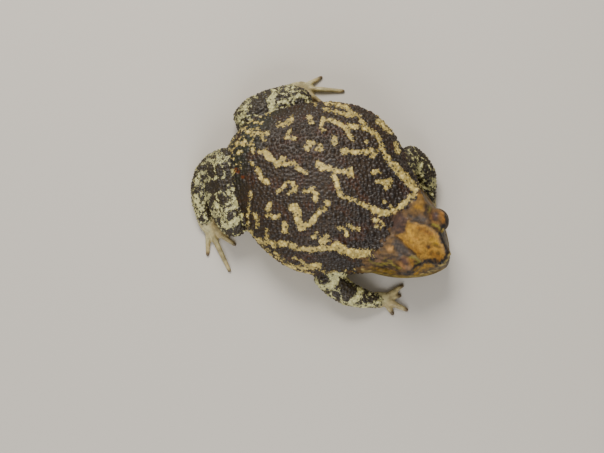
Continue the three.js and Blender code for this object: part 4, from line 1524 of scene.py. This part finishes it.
@dataclass(frozen=True)
class Eyeball:
    """One eye: a ball with a clear bulge in front, a level pupil and a bronze iris."""

    toad: ToadFrame
    shift: Array
    side: Side
    radius: float = 6.1
    bulge: float = 0.35
    rings: int = 56
    spokes: int = 72
    iris: float = math.radians(50)
    pupil_long: float = math.radians(26)
    pupil_high: float = math.radians(11)
    level: float = math.radians(-2)
    forward: float = math.radians(14)
    bronze: Colour = srgb(170, 128, 52)
    umber: Colour = srgb(58, 38, 22)
    black: Colour = srgb(8, 7, 7)
    white: Colour = srgb(52, 38, 30)

    def tint(self, polar: Array, spin: Array) -> Array:
        """The colour at each angle from the eye's axis and each turn about it."""
        across = polar * np.cos(spin) / self.pupil_long
        up = polar * np.sin(spin) / self.pupil_high
        hole = across**2 + up**2
        net = 0.5 + 0.5 * np.sin(spin * 23 + 5 * np.sin(polar * 31) + 3 * np.sin(spin * 7))
        return layered(
            spread(self.bronze, len(polar)),
            (self.umber, 0.25 + 0.5 * net * smoothstep(0.5, 1.0, polar / self.iris)),
            (np.array(self.bronze) * 1.4, bell(hole - 1.35, 0.25)),
            (self.black, smoothstep(1.15, 0.95, hole)),
            (self.white, smoothstep(self.iris * 0.92, self.iris * 1.02, polar)),
        )

    def build(self, material: bpy.types.Material) -> bpy.types.Object:
        """Makes the eye and puts it in its socket.

        Args:
            material: the eyes' finish.

        Returns:
            The eye's object.
        """
        name = f"eyeball_{self.side.word}"
        out = self.toad.turn((math.sin(self.forward), math.cos(self.forward) * self.side.value, 0.0))
        out = out * math.cos(self.level) + np.array([0, 0, math.sin(self.level)])
        out = out / np.linalg.norm(out)
        ahead = np.cross(np.array([0, 0, 1.0]), out)
        ahead = ahead / np.linalg.norm(ahead)
        upward = np.cross(out, ahead)
        rows = np.repeat(np.linspace(0, math.pi, self.rings + 1)[1:-1], self.spokes)
        polar = np.concatenate([[0.0], rows, [math.pi]])
        turns = np.tile(np.arange(self.spokes) * 2 * math.pi / self.spokes, self.rings - 1)
        spin = np.concatenate([[0.0], turns, [0.0]])
        reach = self.radius - self.bulge + self.bulge * smoothstep(0.95, 0.45, polar)
        ring = np.sin(polar)
        points = (out * np.cos(polar)[:, None] + ahead * (ring * np.cos(spin))[:, None]
                  + upward * (ring * np.sin(spin))[:, None]) * reach[:, None]
        points = (points + self.toad.eye_centre(self.side) - self.shift) * MM
        faces = []
        last = len(points) - 1
        for spoke in range(self.spokes):
            after = (spoke + 1) % self.spokes
            faces.append((0, 1 + spoke, 1 + after))
            for row in range(self.rings - 2):
                base = 1 + row * self.spokes
                below = base + self.spokes
                faces.append((base + spoke, below + spoke, below + after, base + after))
            base = 1 + (self.rings - 2) * self.spokes
            faces.append((base + spoke, last, base + after))
        mesh = bpy.data.meshes.new(name)
        mesh.from_pydata(points.tolist(), [], faces)
        mesh.shade_smooth()
        add_colours(mesh, "tint", self.tint(polar, spin))
        mesh.materials.append(material)
        eye = add_object(name, mesh)
        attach(eye, ROOT)
        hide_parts(f"eye_{self.side.word}")
        return eye


@dataclass(frozen=True)
class Lamp:
    """One soft square light, aimed at the toad."""

    name: str
    place: tuple[float, float, float]
    size: float
    power: float
    colour: Colour = (1.0, 1.0, 1.0)

    def build(self) -> None:
        """Adds the light."""
        data = bpy.data.lights.new(self.name, "AREA")
        data.size = self.size
        data.energy = self.power
        data.color = self.colour
        lamp = add_object(self.name, data)
        spot = Vector(self.place)
        lamp.location = spot
        lamp.rotation_euler = (Vector((0, 0, 0.02)) - spot).to_track_quat("-Z", "Y").to_euler()


@dataclass(frozen=True)
class Studio:
    """A plain pale floor, a soft key light behind on the left, a weaker fill, and pale light all round."""

    reach: float = 2.5
    floor: PlainFinish = PlainFinish("floor", srgb(196, 190, 180), 0.85)
    sky: Colour = (0.9, 0.88, 0.84)
    sky_strength: float = 0.42
    lamps: tuple[Lamp, ...] = (
        Lamp("key", (-0.45, 0.5, 0.78), 0.5, 13.0, (1.0, 0.97, 0.92)),
        Lamp("fill", (0.35, -0.8, 0.6), 0.7, 9.0, (0.97, 0.98, 1.0)),
    )

    def build(self) -> None:
        """Makes the floor, the lights and the world."""
        r = self.reach
        mesh = bpy.data.meshes.new("floor")
        mesh.from_pydata([(-r, -r, 0), (r, -r, 0), (r, r, 0), (-r, r, 0)], [], [(0, 1, 2, 3)])
        mesh.materials.append(self.floor.build())
        add_object("floor", mesh)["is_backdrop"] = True
        for lamp in self.lamps:
            lamp.build()
        world = bpy.data.worlds.new("studio")
        world.use_nodes = True
        light = world.node_tree.nodes["Background"]
        light.inputs["Color"].default_value = (*self.sky, 1.0)
        light.inputs["Strength"].default_value = self.sky_strength
        bpy.context.scene.world = world


def main() -> None:
    """Builds the camera, the studio, the skin and the eyes."""
    logging.basicConfig(level=logging.INFO, format="%(name)s: %(message)s")
    cad_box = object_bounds()
    toad = ToadFrame()
    view = Viewpoint()
    shift = toad.shift()
    view.build(shift)
    Studio().build()
    grain = grain_group()
    skin = Skin(toad, view, shift, cad_box).build(grain)
    LOG.info("%s: %d faces", skin.name, len(skin.data.polygons))
    wet = EyeFinish().build(grain)
    for side in Side:
        eye = Eyeball(toad, shift, side).build(wet)
        LOG.info("%s: %d faces", eye.name, len(eye.data.polygons))


if __name__ == "__main__":
    main()
